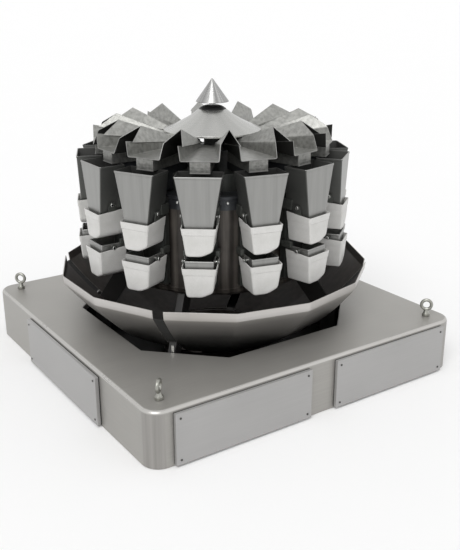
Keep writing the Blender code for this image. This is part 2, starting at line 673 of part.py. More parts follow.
def build_cones(group, cutters, material):
    """The dispersion cone as a sheet on a boss, and the small cone that stands on it."""
    shoulders = [(CONE_RIM_RADIUS * out, CONE_RIM_HEIGHT + CONE_RISE * up) for out, up in CONE_SHOULDERS]
    outside = [(0, CONE_TOP), *shoulders, (CONE_RIM_RADIUS, CONE_RIM_HEIGHT)]
    lip = CONE_RIM_HEIGHT - CONE_LIP
    wide = CONE_RIM_RADIUS - CONE_SHEET
    under = [(radius, z - CONE_SHEET) for radius, z in shoulders if radius > CONE_BOSS_RADIUS][::-1]
    inside = [(CONE_RIM_RADIUS, lip), (wide, lip), (wide, CONE_RIM_HEIGHT - CONE_SHEET / 2), *under,
              (CONE_BOSS_RADIUS, CONE_BOSS_TOP), (CONE_BOSS_RADIUS, POST_TOP + GAP), (0, POST_TOP + GAP)]
    mesh = turned_mesh("dispersion_cone", outside + inside, cutters, closed=False)
    shade(mesh)
    add_object("dispersion_cone", mesh, group, material)
    cap = [(0, CAP_BASE + CAP_RISE), (CAP_RADIUS, CAP_BASE + CAP_EDGE), (CAP_RADIUS, CAP_BASE),
           (CAP_STEM_RADIUS, CAP_BASE), (CAP_STEM_RADIUS, CONE_TOP + GAP), (0, CONE_TOP + GAP)]
    mesh = turned_mesh("top_cone", cap, cutters, closed=False)
    shade(mesh)
    add_object("top_cone", mesh, group, material)


def chute_half_width(z):
    """Outer half width of the feed chute at a height."""
    share = (z - CHUTE_BOTTOM) / (CHUTE_TOP - CHUTE_BOTTOM)
    return CHUTE_BOTTOM_HALF_WIDTH + share * (CHUTE_TOP_HALF_WIDTH - CHUTE_BOTTOM_HALF_WIDTH)


def tub_half_width(rim, foot, z):
    """Outer half width of a tub, or of the ears in line with its sides, at a height."""
    share = (z - foot) / (rim - foot)
    return TUB_FOOT_HALF_WIDTH + share * (TUB_RIM_HALF_WIDTH - TUB_FOOT_HALF_WIDTH)


def open_box_steps(foot, rim):
    """A tapered box open at both ends, as a union and a cut."""
    solid = tapered_box_mesh("wall", foot, rim)
    reach = 2 * SHEET
    hollow = []
    for (x_low, x_high, half_width, z), away in ((foot, -reach), (rim, reach)):
        slope = (rim[2] - foot[2]) / (rim[3] - foot[3])
        lean_front = (rim[1] - foot[1]) / (rim[3] - foot[3])
        lean_back = (rim[0] - foot[0]) / (rim[3] - foot[3])
        hollow.append((x_low + SHEET + lean_back * away, x_high - SHEET + lean_front * away,
                       half_width - SHEET + slope * away, z + away))
    return [("UNION", solid), ("DIFFERENCE", tapered_box_mesh("hollow", *hollow))]


def head_mesh(cutters):
    """Drive case, feed chute, weigh hopper body and the four gate pins of one head."""
    case = box_mesh(
        "case", (CASE_BACK, -CASE_HALF_WIDTH, CASE_BOTTOM), (CASE_FRONT, CASE_HALF_WIDTH, CASE_TOP))
    chute_foot = (CHUTE_BOTTOM_BACK - SHEET, CHUTE_BOTTOM_FRONT, CHUTE_BOTTOM_HALF_WIDTH, CHUTE_BOTTOM)
    chute_rim = (CHUTE_TOP_BACK - SHEET, CHUTE_TOP_FRONT, CHUTE_TOP_HALF_WIDTH, CHUTE_TOP)
    band_foot = (BAND_BACK - SHEET, BAND_FRONT, BAND_BOTTOM_HALF_WIDTH, BAND_BOTTOM)
    band_rim = (BAND_BACK - SHEET, BAND_FRONT, BAND_TOP_HALF_WIDTH, BAND_TOP)
    steps = open_box_steps(chute_foot, chute_rim) + open_box_steps(band_foot, band_rim)
    half = PAN_FOOT_WIDTH / 2 + CHUTE_NOTCH_MARGIN
    notch_low = FEEDER_DRIVE_TOP - CHUTE_NOTCH_MARGIN
    notch = box_mesh("notch", (CASE_BACK, -half, notch_low), (CHUTE_TOP_BACK + SHEET, half, PAN_FLOOR))
    steps.append(("DIFFERENCE", notch))
    pins = (
        (POOL_PIVOT, chute_half_width(POOL_PIVOT), tub_half_width(POOL_RIM, POOL_FOOT, POOL_PIVOT)),
        (WEIGH_PIVOT, BAND_TOP_HALF_WIDTH, tub_half_width(WEIGH_RIM, WEIGH_FOOT, WEIGH_PIVOT)))
    for z, wall, ear in pins:
        for side in (1, -1):
            ends = sorted((side * (wall - SHEET / 2), side * (ear + PIN_REACH)))
            steps.append(("UNION", rod_mesh("pin", PIN_RADIUS, *ends, (PIVOT_RADIUS, z))))
    return combine("weigh_head", case, steps, cutters)


def tub_section(rim, foot):
    """Widths and heights of a tub from rim to rim, with the sloped end of the floor on its left."""
    slope_top = foot + TUB_SLOPE_RISE
    return (
        (-TUB_RIM_HALF_WIDTH, rim), (-TUB_FOOT_HALF_WIDTH, foot), (TUB_FLAT_END, foot),
        (tub_half_width(rim, foot, slope_top), slope_top), (TUB_RIM_HALF_WIDTH, rim))


def tub_surface(rim, foot, rim_front, foot_front):
    """The outer skin of a tub: front, floor and sides, open at the top and the rear."""
    bm = bmesh.new()
    section = tub_section(rim, foot)
    lean = (rim_front - foot_front) / (rim - foot)
    front = [bm.verts.new((rim_front + lean * (z - rim), y, z)) for y, z in section]
    rear = [bm.verts.new((TUB_REAR, y, z)) for y, z in section]
    bm.faces.new(front)
    for n in range(len(section) - 1):
        bm.faces.new((front[n], rear[n], rear[n + 1], front[n + 1]))
    slope = [bm.edges.get((front[n], rear[n])) for n in (2, 3)]
    corner = [bm.edges.get((front[1], rear[1]))]
    for edges, segments in ((slope, 1), (corner, 2)):
        bmesh.ops.bevel(bm, geom=edges, offset=TUB_CORNER, segments=segments, affect="EDGES", profile=0.5)
    return bm


def tub_mesh(name, rim, foot, rim_front, foot_front, pivot, cutters):
    """A gate: a tub open at the top and the rear, with an ear on each side for the pin."""
    bm = tub_surface(rim, foot, rim_front, foot_front)
    surface = add_object(name, mesh_from(bm, name), cutters)
    shell = surface.modifiers.new("sheet", "SOLIDIFY")
    shell.thickness = TUB_SHEET
    shell.offset = -1.0
    shell.use_even_offset = True
    tub = baked_mesh(surface, name)
    bpy.data.objects.remove(surface, do_unlink=True)
    steps = []
    top = pivot + EAR_ABOVE_PIN
    root = rim - 4 * TUB_SHEET
    for side in (1, -1):
        low_edge = tub_half_width(rim, foot, root) + EAR_PAD
        high_edge = tub_half_width(rim, foot, top) + EAR_PAD
        thick = TUB_SHEET + 2 * EAR_PAD
        outline = ((low_edge - thick, root), (low_edge, root), (high_edge, top), (high_edge - thick, top))
        ear = prism_mesh(
            "ear", outline, PIVOT_RADIUS - EAR_HALF_WIDTH, PIVOT_RADIUS + EAR_HALF_WIDTH,
            lambda u, v, w, side=side: (w, side * u, v))
        steps.append(("UNION", ear))
    bore = PIN_RADIUS + PIN_CLEARANCE
    wide = 2 * TUB_RIM_HALF_WIDTH
    steps.append(("DIFFERENCE", rod_mesh("bore", bore, -wide, wide, (PIVOT_RADIUS, pivot))))
    mesh = combine(name, tub, steps, cutters)
    mesh.transform(Matrix.Translation((-PIVOT_RADIUS, 0, -pivot)))
    return mesh


def build_heads(group, cutters, steel, white):
    """The fourteen heads, each with its fixed body and its two gates."""
    body = head_mesh(cutters)
    pool = tub_mesh("pool_gate", POOL_RIM, POOL_FOOT, POOL_RIM_FRONT, POOL_FOOT_FRONT, POOL_PIVOT, cutters)
    weigh = tub_mesh(
        "weigh_gate", WEIGH_RIM, WEIGH_FOOT, WEIGH_RIM_FRONT, WEIGH_FOOT_FRONT, WEIGH_PIVOT, cutters)
    for number in range(HEADS):
        angle = number * PITCH
        item = add_object(f"weigh_head_{number + 1:02d}", body, group, steel)
        item.rotation_euler.z = angle
        for name, mesh, pivot in (("pool_gate", pool, POOL_PIVOT), ("weigh_gate", weigh, WEIGH_PIVOT)):
            gate = add_object(f"{name}_{number + 1:02d}", mesh, group, white)
            gate.location = polar(PIVOT_RADIUS, angle, pivot)
            gate.rotation_euler.z = angle


def main():
    """Build every piece of the weigher."""
    clear_scene()
    parts = make_collection("multihead_weigher")
    cutters = make_collection("cutters")
    steel = make_material("brushed_steel", STEEL, 0.45, 0.6)
    bright = make_material("bright_steel", BRIGHT_STEEL, 0.35, 0.7)
    dark = make_material("dark_steel", DARK_STEEL, 0.5, 0.4)
    white = make_material("white_hopper", WHITE, 0.5, 0.0)
    build_base(parts, cutters, steel)
    build_eyes(parts, cutters, bright)
    build_discharge(parts, cutters, dark)
    build_bowl(parts, cutters, steel)
    build_centre(parts, cutters, dark)
    build_pans(parts, cutters, bright)
    build_cones(parts, cutters, bright)
    build_heads(parts, cutters, bright, white)


main()
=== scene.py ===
"""Looks of a fourteen head rotary weigher on a square base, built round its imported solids.

Metres, +Z up, with the origin on the floor at the centre of the base. A piece of a head is drawn in
the head's own frame, where x runs outwards from the axis of the machine, y is tangential and z is up,
and is then turned to its place in the ring.
"""

import bmesh
import bpy
import json
import logging
from collections.abc import Callable, Iterable, Sequence
from dataclasses import dataclass
from enum import Enum
from math import atan2, cos, pi, radians, sin, sqrt
from mathutils import Matrix, Vector


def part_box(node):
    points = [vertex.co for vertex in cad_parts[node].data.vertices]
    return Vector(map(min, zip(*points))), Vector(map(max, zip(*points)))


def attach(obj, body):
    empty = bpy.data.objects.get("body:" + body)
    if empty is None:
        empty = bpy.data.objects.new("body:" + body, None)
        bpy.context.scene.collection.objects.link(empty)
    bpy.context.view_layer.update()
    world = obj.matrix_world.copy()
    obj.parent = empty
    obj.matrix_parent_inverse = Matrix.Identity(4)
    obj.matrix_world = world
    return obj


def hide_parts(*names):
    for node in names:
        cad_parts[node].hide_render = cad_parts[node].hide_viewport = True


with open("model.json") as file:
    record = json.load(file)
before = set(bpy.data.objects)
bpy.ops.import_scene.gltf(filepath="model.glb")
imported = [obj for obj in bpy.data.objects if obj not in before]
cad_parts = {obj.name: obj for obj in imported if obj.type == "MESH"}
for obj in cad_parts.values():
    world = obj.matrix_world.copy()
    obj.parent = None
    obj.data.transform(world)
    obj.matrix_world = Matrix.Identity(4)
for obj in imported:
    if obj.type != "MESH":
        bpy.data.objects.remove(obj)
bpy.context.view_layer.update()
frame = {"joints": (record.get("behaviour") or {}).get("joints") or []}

LOG = logging.getLogger("weigher")
MACHINE = "machine"
NOISE_MIDDLE = 0.5
MERGE_DISTANCE = 0.000002
BLOCK_ANGLE = radians(28)
SHEET_ANGLE = radians(60)
EDGE_STEPS = 2
ROD_END_STEPS = 3
ROUND_PROFILE = 0.5
NORMAL_WEIGHT = 60

Colour = Triple = tuple[float, float, float]
Pair = tuple[float, float]
Mesh = bpy.types.Mesh
Socket = bpy.types.NodeSocket
Ring = list[Vector]


class Slot(Enum):
    """The record's material slots."""

    STEEL = "brushed_steel"
    BRIGHT = "bright_steel"
    DARK = "dark_steel"
    WHITE = "white_hopper"


class Signal:
    """A socket that carries a number, with the operators that the finishes use."""

    def __init__(self, graph: "Graph", socket: Socket) -> None:
        """Wraps a socket of a graph."""
        self.graph = graph
        self.socket = socket

    def math(self, operation: str, *values: "Signal | float") -> "Signal":
        """Adds a Math node.

        Args:
            operation: The node's operation.
            values: What goes into its sockets, in their order.

        Returns:
            The result as another signal.
        """
        made = self.graph.node("ShaderNodeMath", {"operation": operation}, dict(enumerate(values)))
        return Signal(self.graph, made.outputs[0])

    def __add__(self, other: "Signal | float") -> "Signal":
        """Sum."""
        return self.math("ADD", self, other)

    def __radd__(self, other: float) -> "Signal":
        """Sum with a plain number on the left."""
        return self.math("ADD", other, self)

    def __sub__(self, other: "Signal | float") -> "Signal":
        """Difference."""
        return self.math("SUBTRACT", self, other)

    def __rsub__(self, other: float) -> "Signal":
        """Difference with a plain number on the left."""
        return self.math("SUBTRACT", other, self)

    def __mul__(self, other: "Signal | float") -> "Signal":
        """Product."""
        return self.math("MULTIPLY", self, other)

    def __rmul__(self, other: float) -> "Signal":
        """Product with a plain number on the left."""
        return self.math("MULTIPLY", other, self)

    def __gt__(self, other: "Signal | float") -> "Signal":
        """One where this is the larger, or else zero."""
        return self.math("GREATER_THAN", self, other)

    def size(self) -> "Signal":
        """The value without its sign."""
        return self.math("ABSOLUTE", self)

    def or_more(self, other: "Signal | float") -> "Signal":
        """The larger of two values."""
        return self.math("MAXIMUM", self, other)

    def swing(self, amount: float) -> "Signal":
        """How far a noise lies from its middle, times an amount."""
        return (self - NOISE_MIDDLE) * amount


class Graph:
    """The nodes of one material or of the world."""

    def __init__(self, tree: bpy.types.NodeTree) -> None:
        """Starts from an empty tree."""
        self.tree = tree
        tree.nodes.clear()

    def node(self, kind: str, settings: dict | None = None, inputs: dict | None = None) -> bpy.types.Node:
        """Adds a node.

        Args:
            kind: The node's type.
            settings: What is set on the node itself, first. A ramp takes its stops here.
            inputs: A value, a socket or a signal for each socket, by name or number.

        Returns:
            The new node.
        """
        made = self.tree.nodes.new(kind)
        for key, value in (settings or {}).items():
            if key == "stops":
                self._set_stops(made.color_ramp, value)
            else:
                setattr(made, key, value)
        for key, value in (inputs or {}).items():
            if isinstance(value, Signal):
                value = value.socket
            if isinstance(value, Socket):
                self.tree.links.new(value, made.inputs[key])
            else:
                made.inputs[key].default_value = value
        return made

    def _set_stops(self, ramp: bpy.types.ColorRamp, stops: Sequence[Pair]) -> None:
        """Sets a grey ramp from (place, level) pairs.

        Args:
            ramp: The ramp.
            stops: The (place, level) of each stop.
        """
        while len(ramp.elements) < len(stops):
            ramp.elements.new(1.0)
        for element, (place, level) in zip(ramp.elements, stops):
            element.position = place
            element.color = (level, level, level, 1.0)

    def ramp(self, value: Signal, *stops: Pair) -> Signal:
        """Bends a value through (place, level) stops."""
        made = self.node("ShaderNodeValToRGB", {"stops": stops}, {"Fac": value})
        return Signal(self, made.outputs["Color"])

    def noise(self, place: Socket, scale: float = 1.0, detail: float = 3.0) -> Signal:
        """Noise from 0 to 1 at a place."""
        made = self.node("ShaderNodeTexNoise", {}, {"Vector": place, "Scale": scale, "Detail": detail})
        return Signal(self, made.outputs["Fac"])

    def stretched(self, place: Socket, scale: Sequence[float]) -> Socket:
        """A place multiplied along each axis."""
        made = self.node("ShaderNodeVectorMath", {"operation": "MULTIPLY"}, {0: place, 1: tuple(scale)})
        return made.outputs[0]

    def axes(self, vector: Socket) -> tuple[Signal, Signal, Signal]:
        """The three parts of a vector."""
        made = self.node("ShaderNodeSeparateXYZ", {}, {0: vector})
        return tuple(Signal(self, made.outputs[number]) for number in range(3))

    def blend(self, share: Signal | float, low: Colour | Socket, high: Colour | Socket) -> Socket:
        """Mixes two colours.

        Args:
            share: How much of the second colour shows.
            low: The first colour.
            high: The second colour.

        Returns:
            The socket with the mixed colour.
        """
        first, second = 6, 7
        ends = [(*end, 1.0) if isinstance(end, tuple) else end for end in (low, high)]
        made = self.node("ShaderNodeMix", {"data_type": "RGBA"},
                         {0: share, first: ends[0], second: ends[1]})
        return made.outputs[2]

    def shaded(self, colour: Colour, shade: Signal, spread: float) -> Socket:
        """A colour that runs from darker to lighter by spread, as its shade goes from 0 to 1."""
        return self.blend(shade, shade_of(colour, 1 - spread), shade_of(colour, 1 + spread))

    def bump(self, height: Signal, depth: float, strength: float) -> Socket:
        """A normal that follows a height."""
        made = self.node("ShaderNodeBump", {}, {"Height": height, "Distance": depth, "Strength": strength})
        return made.outputs["Normal"]


def shade_of(colour: Colour, factor: float) -> Colour:
    """A colour made darker or lighter."""
    return tuple(min(1.0, part * factor) for part in colour)


@dataclass(frozen=True)
class Finish:
    """A finish of a surface, which its own class dresses."""

    name: str
    colour: Colour
    roughness: float = 0.4
    metallic: float = 0.0
    spread: float = 0.5
    gloss_swing: float = 0.2
    relief: Pair = (0.00003, 0.4)

    def material(self) -> bpy.types.Material:
        """Makes the material, once for each name.

        Returns:
            The material with its nodes.
        """
        if self.name in bpy.data.materials:
            return bpy.data.materials[self.name]
        made = bpy.data.materials.new(self.name)
        made.use_nodes = True
        graph = Graph(made.node_tree)
        place = graph.node("ShaderNodeTexCoord")
        inputs = {"Base Color": (*self.colour, 1.0), "Roughness": self.roughness, "Metallic": self.metallic}
        inputs.update(self.dress(graph, place.outputs["Object"], place.outputs["Normal"]))
        shader = graph.node("ShaderNodeBsdfPrincipled", {}, inputs)
        graph.node("ShaderNodeOutputMaterial", {}, {"Surface": shader.outputs[0]})
        made.diffuse_color = (*self.colour, 1.0)
        return made

    def dress(self, graph: Graph, place: Socket, facing: Socket) -> dict:
        """Gives what changes over the surface.

        Args:
            graph: The nodes of the material.
            place: The place on the piece, in metres.
            facing: The direction that the surface faces.

        Returns:
            Values for the shader's sockets.
        """
        raise NotImplementedError


@dataclass(frozen=True)
class BrushedSheet(Finish):
    """Stainless sheet with a fine grain along its length and faint clouds."""

    spread: float = 0.45
    relief: Pair = (0.00004, 0.5)
    grain: float = 420.0
    along: float = 6.0
    contrast: float = 0.16
    grain_gloss: float = 0.16
    clouds: float = 0.10
    cloud_scale: float = 5.0
    cloud_gloss: float = 0.08
    level_from: float = 0.7
    upright: bool = False

    def dress(self, graph: Graph, place: Socket, facing: Socket) -> dict:
        """Grain along the sheet, with faint clouds.

        Args:
            graph: The nodes of the material.
            place: The place on the piece, in metres.
            facing: The direction that the surface faces.

        Returns:
            Values for the shader's sockets.
        """
        across, down = (self.grain, self.along) if self.upright else (self.along, self.grain)
        steep = graph.noise(graph.stretched(place, (across, across, down)))
        flat = graph.noise(graph.stretched(place, (self.along, self.grain, self.along)))
        upward = graph.axes(facing)[2].size() > self.level_from
        grain = steep + (flat - steep) * upward
        cloud = graph.noise(place, self.cloud_scale, detail=2.0)
        shade = grain.swing(self.contrast) + cloud.swing(self.clouds) + NOISE_MIDDLE
        return {"Base Color": graph.shaded(self.colour, shade, self.spread),
                "Roughness": self.roughness + grain.swing(self.grain_gloss) + cloud.swing(self.cloud_gloss),
                "Normal": graph.bump(grain, *self.relief)}


@dataclass(frozen=True)
class DownwardShadeSheet(BrushedSheet):
    """Brushed sheet with painted shade that turns it darker downwards, from (height, level) stops."""

    downward_shade: tuple[Pair, ...] = ((0.15, 0.10), (0.24, 0.30), (0.30, 0.52), (0.34, 1.0))

    def dress(self, graph: Graph, place: Socket, facing: Socket) -> dict:
        """The brushed sheet, darker by its height as painted shade.

        Args:
            graph: The nodes of the material.
            place: The place on the piece, in metres.
            facing: The direction that the surface faces.

        Returns:
            Values for the shader's sockets.
        """
        values = super().dress(graph, place, facing)
        # Painted shade: the colour is blended towards black lower down.
        level = graph.ramp(graph.axes(place)[2], *self.downward_shade)
        values["Base Color"] = graph.blend(level, (0.0, 0.0, 0.0), values["Base Color"])
        return values


@dataclass(frozen=True)
class SpunSteel(Finish):
    """Polished steel turned on a lathe, with painted reflection streaks that run from its tip to its rim.
    """

    gloss_swing: float = 0.1
    streaks: float = 9.0
    contrast: float = 0.5
    rings: Sequence[float] = (30.0, 30.0, 900.0)
    ring_contrast: float = 0.12

    def dress(self, graph: Graph, place: Socket, facing: Socket) -> dict:
        """Painted reflection streaks from the tip outwards, over fine turned rings.

        Args:
            graph: The nodes of the material.
            place: The place on the piece, in metres.
            facing: The direction that the surface faces; not used here.

        Returns:
            Values for the shader's sockets.
        """
        outward = graph.stretched(place, (1.0, 1.0, 0.0))
        around = graph.node("ShaderNodeVectorMath", {"operation": "NORMALIZE"}, {0: outward})
        # Painted reflections: lighter and darker streaks by the angle round the axis.
        streak = graph.noise(around.outputs[0], self.streaks, detail=2.0)
        fine = graph.noise(graph.stretched(place, self.rings), detail=2.0)
        shade = streak.swing(self.contrast) + fine.swing(self.ring_contrast) + NOISE_MIDDLE
        return {"Base Color": graph.shaded(self.colour, shade, self.spread),
                "Roughness": self.roughness + fine.swing(self.gloss_swing),
                "Normal": graph.bump(fine, *self.relief)}


@dataclass(frozen=True)
class Dimpled(Finish):
    """A surface pressed all over with small dimples, so that wet food lets go of it."""

    pitch: float = 0.0042
    scatter: float = 0.35
    dimple_span: Pair = (0.10, 0.55)

    def dimple(self, graph: Graph, place: Socket) -> Signal:
        """The height of the dimpled surface, from 0 in a dimple to 1 between them.

        Args:
            graph: The nodes of the material.
            place: The place on the piece, in metres.

        Returns:
            The height as a signal.
        """
        cells = graph.node("ShaderNodeTexVoronoi", {}, {
            "Vector": place, "Scale": 1 / self.pitch, "Randomness": self.scatter})
        low, high = self.dimple_span
        return graph.ramp(Signal(graph, cells.outputs["Distance"]), (low, 0.0), (high, 1.0))


@dataclass(frozen=True)
class DimpledSteel(Dimpled):
    """Dimpled stainless sheet with mottled reflections."""

    gloss_swing: float = 0.14
    relief: Pair = (0.0003, 0.8)
    contrast: float = 0.30
    mottle: float = 32.0
    dimple_contrast: float = 0.12

    def dress(self, graph: Graph, place: Socket, facing: Socket) -> dict:
        """Dimples and a mottle of reflections.

        Args:
            graph: The nodes of the material.
            place: The place on the piece, in metres.
            facing: The direction that the surface faces; not used here.

        Returns:
            Values for the shader's sockets.
        """
        dimple = self.dimple(graph, place)
        cloud = graph.noise(place, self.mottle)
        shade = dimple.swing(self.dimple_contrast) + cloud.swing(self.contrast) + NOISE_MIDDLE
        return {"Base Color": graph.shaded(self.colour, shade, self.spread),
                "Roughness": self.roughness + cloud.swing(self.gloss_swing),
                "Normal": graph.bump(dimple, *self.relief)}


@dataclass(frozen=True)
class DimpledShell(Dimpled):
    """White hopper shell with fine dimples and a little grey dust in its low places."""

    gloss_swing: float = 0.12
    relief: Pair = (0.0004, 0.7)
    pitch: float = 0.0045
    scatter: float = 0.25
    dimple_span: Pair = (0.15, 0.60)
    dust: Colour = (0.46, 0.46, 0.43)
    dust_scale: float = 26.0
    dust_shares: Pair = (0.6, 0.25)
    dust_stops: tuple[Pair, ...] = ((0.30, 0.0), (0.75, 0.55))

    def dress(self, graph: Graph, place: Socket, facing: Socket) -> dict:
        """Fine dimples with dust in the low places.

        Args:
            graph: The nodes of the material.
            place: The place on the piece, in metres.
            facing: The direction that the surface faces; not used here.

        Returns:
            Values for the shader's sockets.
        """
        dimple = self.dimple(graph, place)
        cloud = graph.noise(place, self.dust_scale)
        of_cloud, of_dimple = self.dust_shares
        dusty = graph.ramp(cloud * of_cloud + dimple * of_dimple, *self.dust_stops)
        return {"Base Color": graph.blend(dusty, self.colour, self.dust),
                "Roughness": self.roughness + cloud.swing(self.gloss_swing),
                "Normal": graph.bump(dimple, *self.relief)}


@dataclass(frozen=True)
class StreakedPanel(Finish):
    """Dark satin panel with soft upright streaks."""

    relief: Pair = (0.0002, 0.3)
    light: Colour = (0.13, 0.115, 0.105)
    light_stops: tuple[Pair, ...] = ((0.42, 0.0), (0.72, 1.0))
    streaks: Sequence[float] = (48.0, 48.0, 1.6)
    streak_share: float = 0.7
    clouds: float = 9.0
    cloud_share: float = 0.3

    def dress(self, graph: Graph, place: Socket, facing: Socket) -> dict:
        """Light streaks down the panel.

        Args:
            graph: The nodes of the material.
            place: The place on the piece, in metres.
            facing: The direction that the surface faces; not used here.

        Returns:
            Values for the shader's sockets.
        """
        streak = graph.noise(graph.stretched(place, self.streaks), detail=2.0)
        cloud = graph.noise(place, self.clouds)
        light = graph.ramp(streak * self.streak_share + cloud * self.cloud_share, *self.light_stops)
        return {"Base Color": graph.blend(light, self.colour, self.light),
                "Roughness": self.roughness + cloud.swing(self.gloss_swing),
                "Normal": graph.bump(cloud, *self.relief)}


@dataclass(frozen=True)
class CloudedMetal(Finish):
    """Plain metal of small parts, a little uneven in shade and polish."""

    contrast: float = 0.3
    scale: float = 60.0
    finer: float = 20.0

    def dress(self, graph: Graph, place: Socket, facing: Socket) -> dict:
        """Small clouds of shade and polish.

        Args:
            graph: The nodes of the material.
            place: The place on the piece, in metres.
            facing: The direction that the surface faces; not used here.

        Returns:
            Values for the shader's sockets.
        """
        cloud = graph.noise(place, self.scale)
        fine = graph.noise(place, self.scale * self.finer, detail=2.0)
        shade = cloud.swing(self.contrast) + NOISE_MIDDLE
        return {"Base Color": graph.shaded(self.colour, shade, self.spread),
                "Roughness": self.roughness + cloud.swing(self.gloss_swing),
                "Normal": graph.bump(fine, *self.relief)}


@dataclass(frozen=True)
class StudioFloor(Finish):
    """Pale matt floor that holds the machine's shadow."""

    scale: float = 1.5
    darkest: float = 0.99

    def dress(self, graph: Graph, place: Socket, facing: Socket) -> dict:
        """An almost even pale shade.

        Args:
            graph: The nodes of the material.
            place: The place on the piece, in metres.
            facing: The direction that the surface faces; not used here.

        Returns:
            Values for the shader's sockets.
        """
        cloud = graph.noise(place, self.scale, detail=2.0)
        return {"Base Color": graph.blend(cloud, self.colour, shade_of(self.colour, self.darkest))}


SHEET_STEEL = BrushedSheet(
    "brushed_sheet_steel", (0.345, 0.335, 0.315), 0.42, 0.45, contrast=0.26, clouds=0.24)
# Lighter, glossier steel on the rounded top edge of the base and on the lip of the well: a painted
# highlight.
BEND_HIGHLIGHT_STEEL = BrushedSheet("bend_painted_highlight", (0.47, 0.46, 0.44), 0.30, 0.60, contrast=0.20, clouds=0.20)
# Darker steel with strong upright streaks on the rounded upright corners of the base: painted reflections.
CORNER_REFLECTION_STEEL = BrushedSheet(
    "corner_painted_reflection", (0.30, 0.29, 0.275), 0.36, 0.60, grain=42.0, along=1.0, contrast=1.3,
    upright=True)
PLATE_STEEL = BrushedSheet("cover_plate_steel", (0.39, 0.385, 0.38), 0.44, 0.55, clouds=0.18)
# Bowl sheet darkened towards its foot by painted shade, lightest at the rim band.
BOWL_SHADED_STEEL = DownwardShadeSheet("bowl_painted_shade_steel", (0.56, 0.54, 0.52), 0.36, 0.80, grain=300.0)
# Near black inside the bowl and the funnel: painted shade under the heads.
BOWL_INNER_SHADE = StreakedPanel("bowl_inner_painted_shade", (0.026, 0.021, 0.018), 0.55, 0.10, light=(0.048, 0.040, 0.034))
BOWL_EDGE = CloudedMetal("bowl_edge", (0.42, 0.41, 0.39), 0.38, 0.80)
CHUTE_STEEL = BrushedSheet(
    "chute_steel", (0.30, 0.30, 0.290), 0.36, 0.80, grain=75.0, along=2.0, contrast=0.42, clouds=0.22,
    upright=True)
# Near black for the inside and the rim of each chute: painted shade.
CHUTE_INNER_SHADE = CloudedMetal("chute_inner_painted_shade", (0.060, 0.060, 0.057), 0.50, 0.50)
# Darker steel on the side faces of the chutes: painted reflection of the dark neighbouring chutes.
CHUTE_FLANK_REFLECTION = BrushedSheet("chute_flank_painted_reflection", (0.100, 0.102, 0.096), 0.42, 0.60, contrast=0.12, clouds=0.30)
SHEET_EDGE = CloudedMetal("sheet_edge", (0.30, 0.30, 0.29), 0.42, 0.70)
PAN_STEEL = DimpledSteel("pan_steel", (0.29, 0.29, 0.275), 0.36, 0.80, contrast=1.1, mottle=75.0)
# Near black under the pans and on the hub ring: painted shade.
PAN_BELOW_SHADE = CloudedMetal("pan_under_painted_shade", (0.022, 0.022, 0.020), 0.50, 0.50)
STAND_STEEL = DimpledSteel(
    "stand_steel", (0.27, 0.27, 0.255), 0.40, 0.70, pitch=0.009, contrast=1.2, mottle=90.0)
# Both cones carry painted reflection streaks round their axis; the small cone's darker colour and stronger
# streaks paint its dark sides.
CONE_STEEL = SpunSteel("cone_steel", (0.44, 0.44, 0.425), 0.26, 0.92, streaks=2.5)
CAP_STEEL = SpunSteel("cap_steel", (0.34, 0.34, 0.335), 0.26, 0.95, streaks=6.0, contrast=1.2)
DRUM_DARK = StreakedPanel("drum_dark", (0.036, 0.031, 0.027), 0.38, 0.40, light=(0.190, 0.170, 0.150))
MECHANISM = CloudedMetal("mechanism", (0.055, 0.058, 0.063), 0.40, 0.60, contrast=1.3, scale=36.0)
CASE_DARK = StreakedPanel("case_dark", (0.030, 0.032, 0.029), 0.45, 0.35, light=(0.060, 0.064, 0.058))
LEG_DARK = CloudedMetal("leg_dark", (0.018, 0.017, 0.016), 0.55, 0.20)
BRACKET_GREY = CloudedMetal("bracket_grey", (0.085, 0.090, 0.082), 0.46, 0.55)
FASTENER = CloudedMetal("fastener_steel", (0.62, 0.62, 0.60), 0.28, 0.90)
EYE_STEEL = CloudedMetal("eye_bolt_steel", (0.34, 0.34, 0.31), 0.30, 0.90)
# Black for the disc under the small cone: its painted shadow and dark reflection on the dispersion cone.
CAP_SHADOW_DISC = CloudedMetal("cap_painted_shadow", (0.016, 0.016, 0.016), 0.50, 0.10)
SCREW_DARK = CloudedMetal("screw_dark", (0.10, 0.10, 0.095), 0.40, 0.80)
GASKET = CloudedMetal("gasket_rubber", (0.020, 0.020, 0.019), 0.70, 0.0)
HOPPER_WHITE = DimpledShell("hopper_white", (0.66, 0.652, 0.635), 0.42, 0.0)
# Near black for the well, its floor and the outlet: painted shade under the bowl.
WELL_SHADE_BLACK = CloudedMetal("well_painted_shade", (0.014, 0.014, 0.013), 0.60, 0.20, scale=12.0)
FLOOR_PALE = StudioFloor("studio_floor", (0.97, 0.97, 0.97), 0.9)


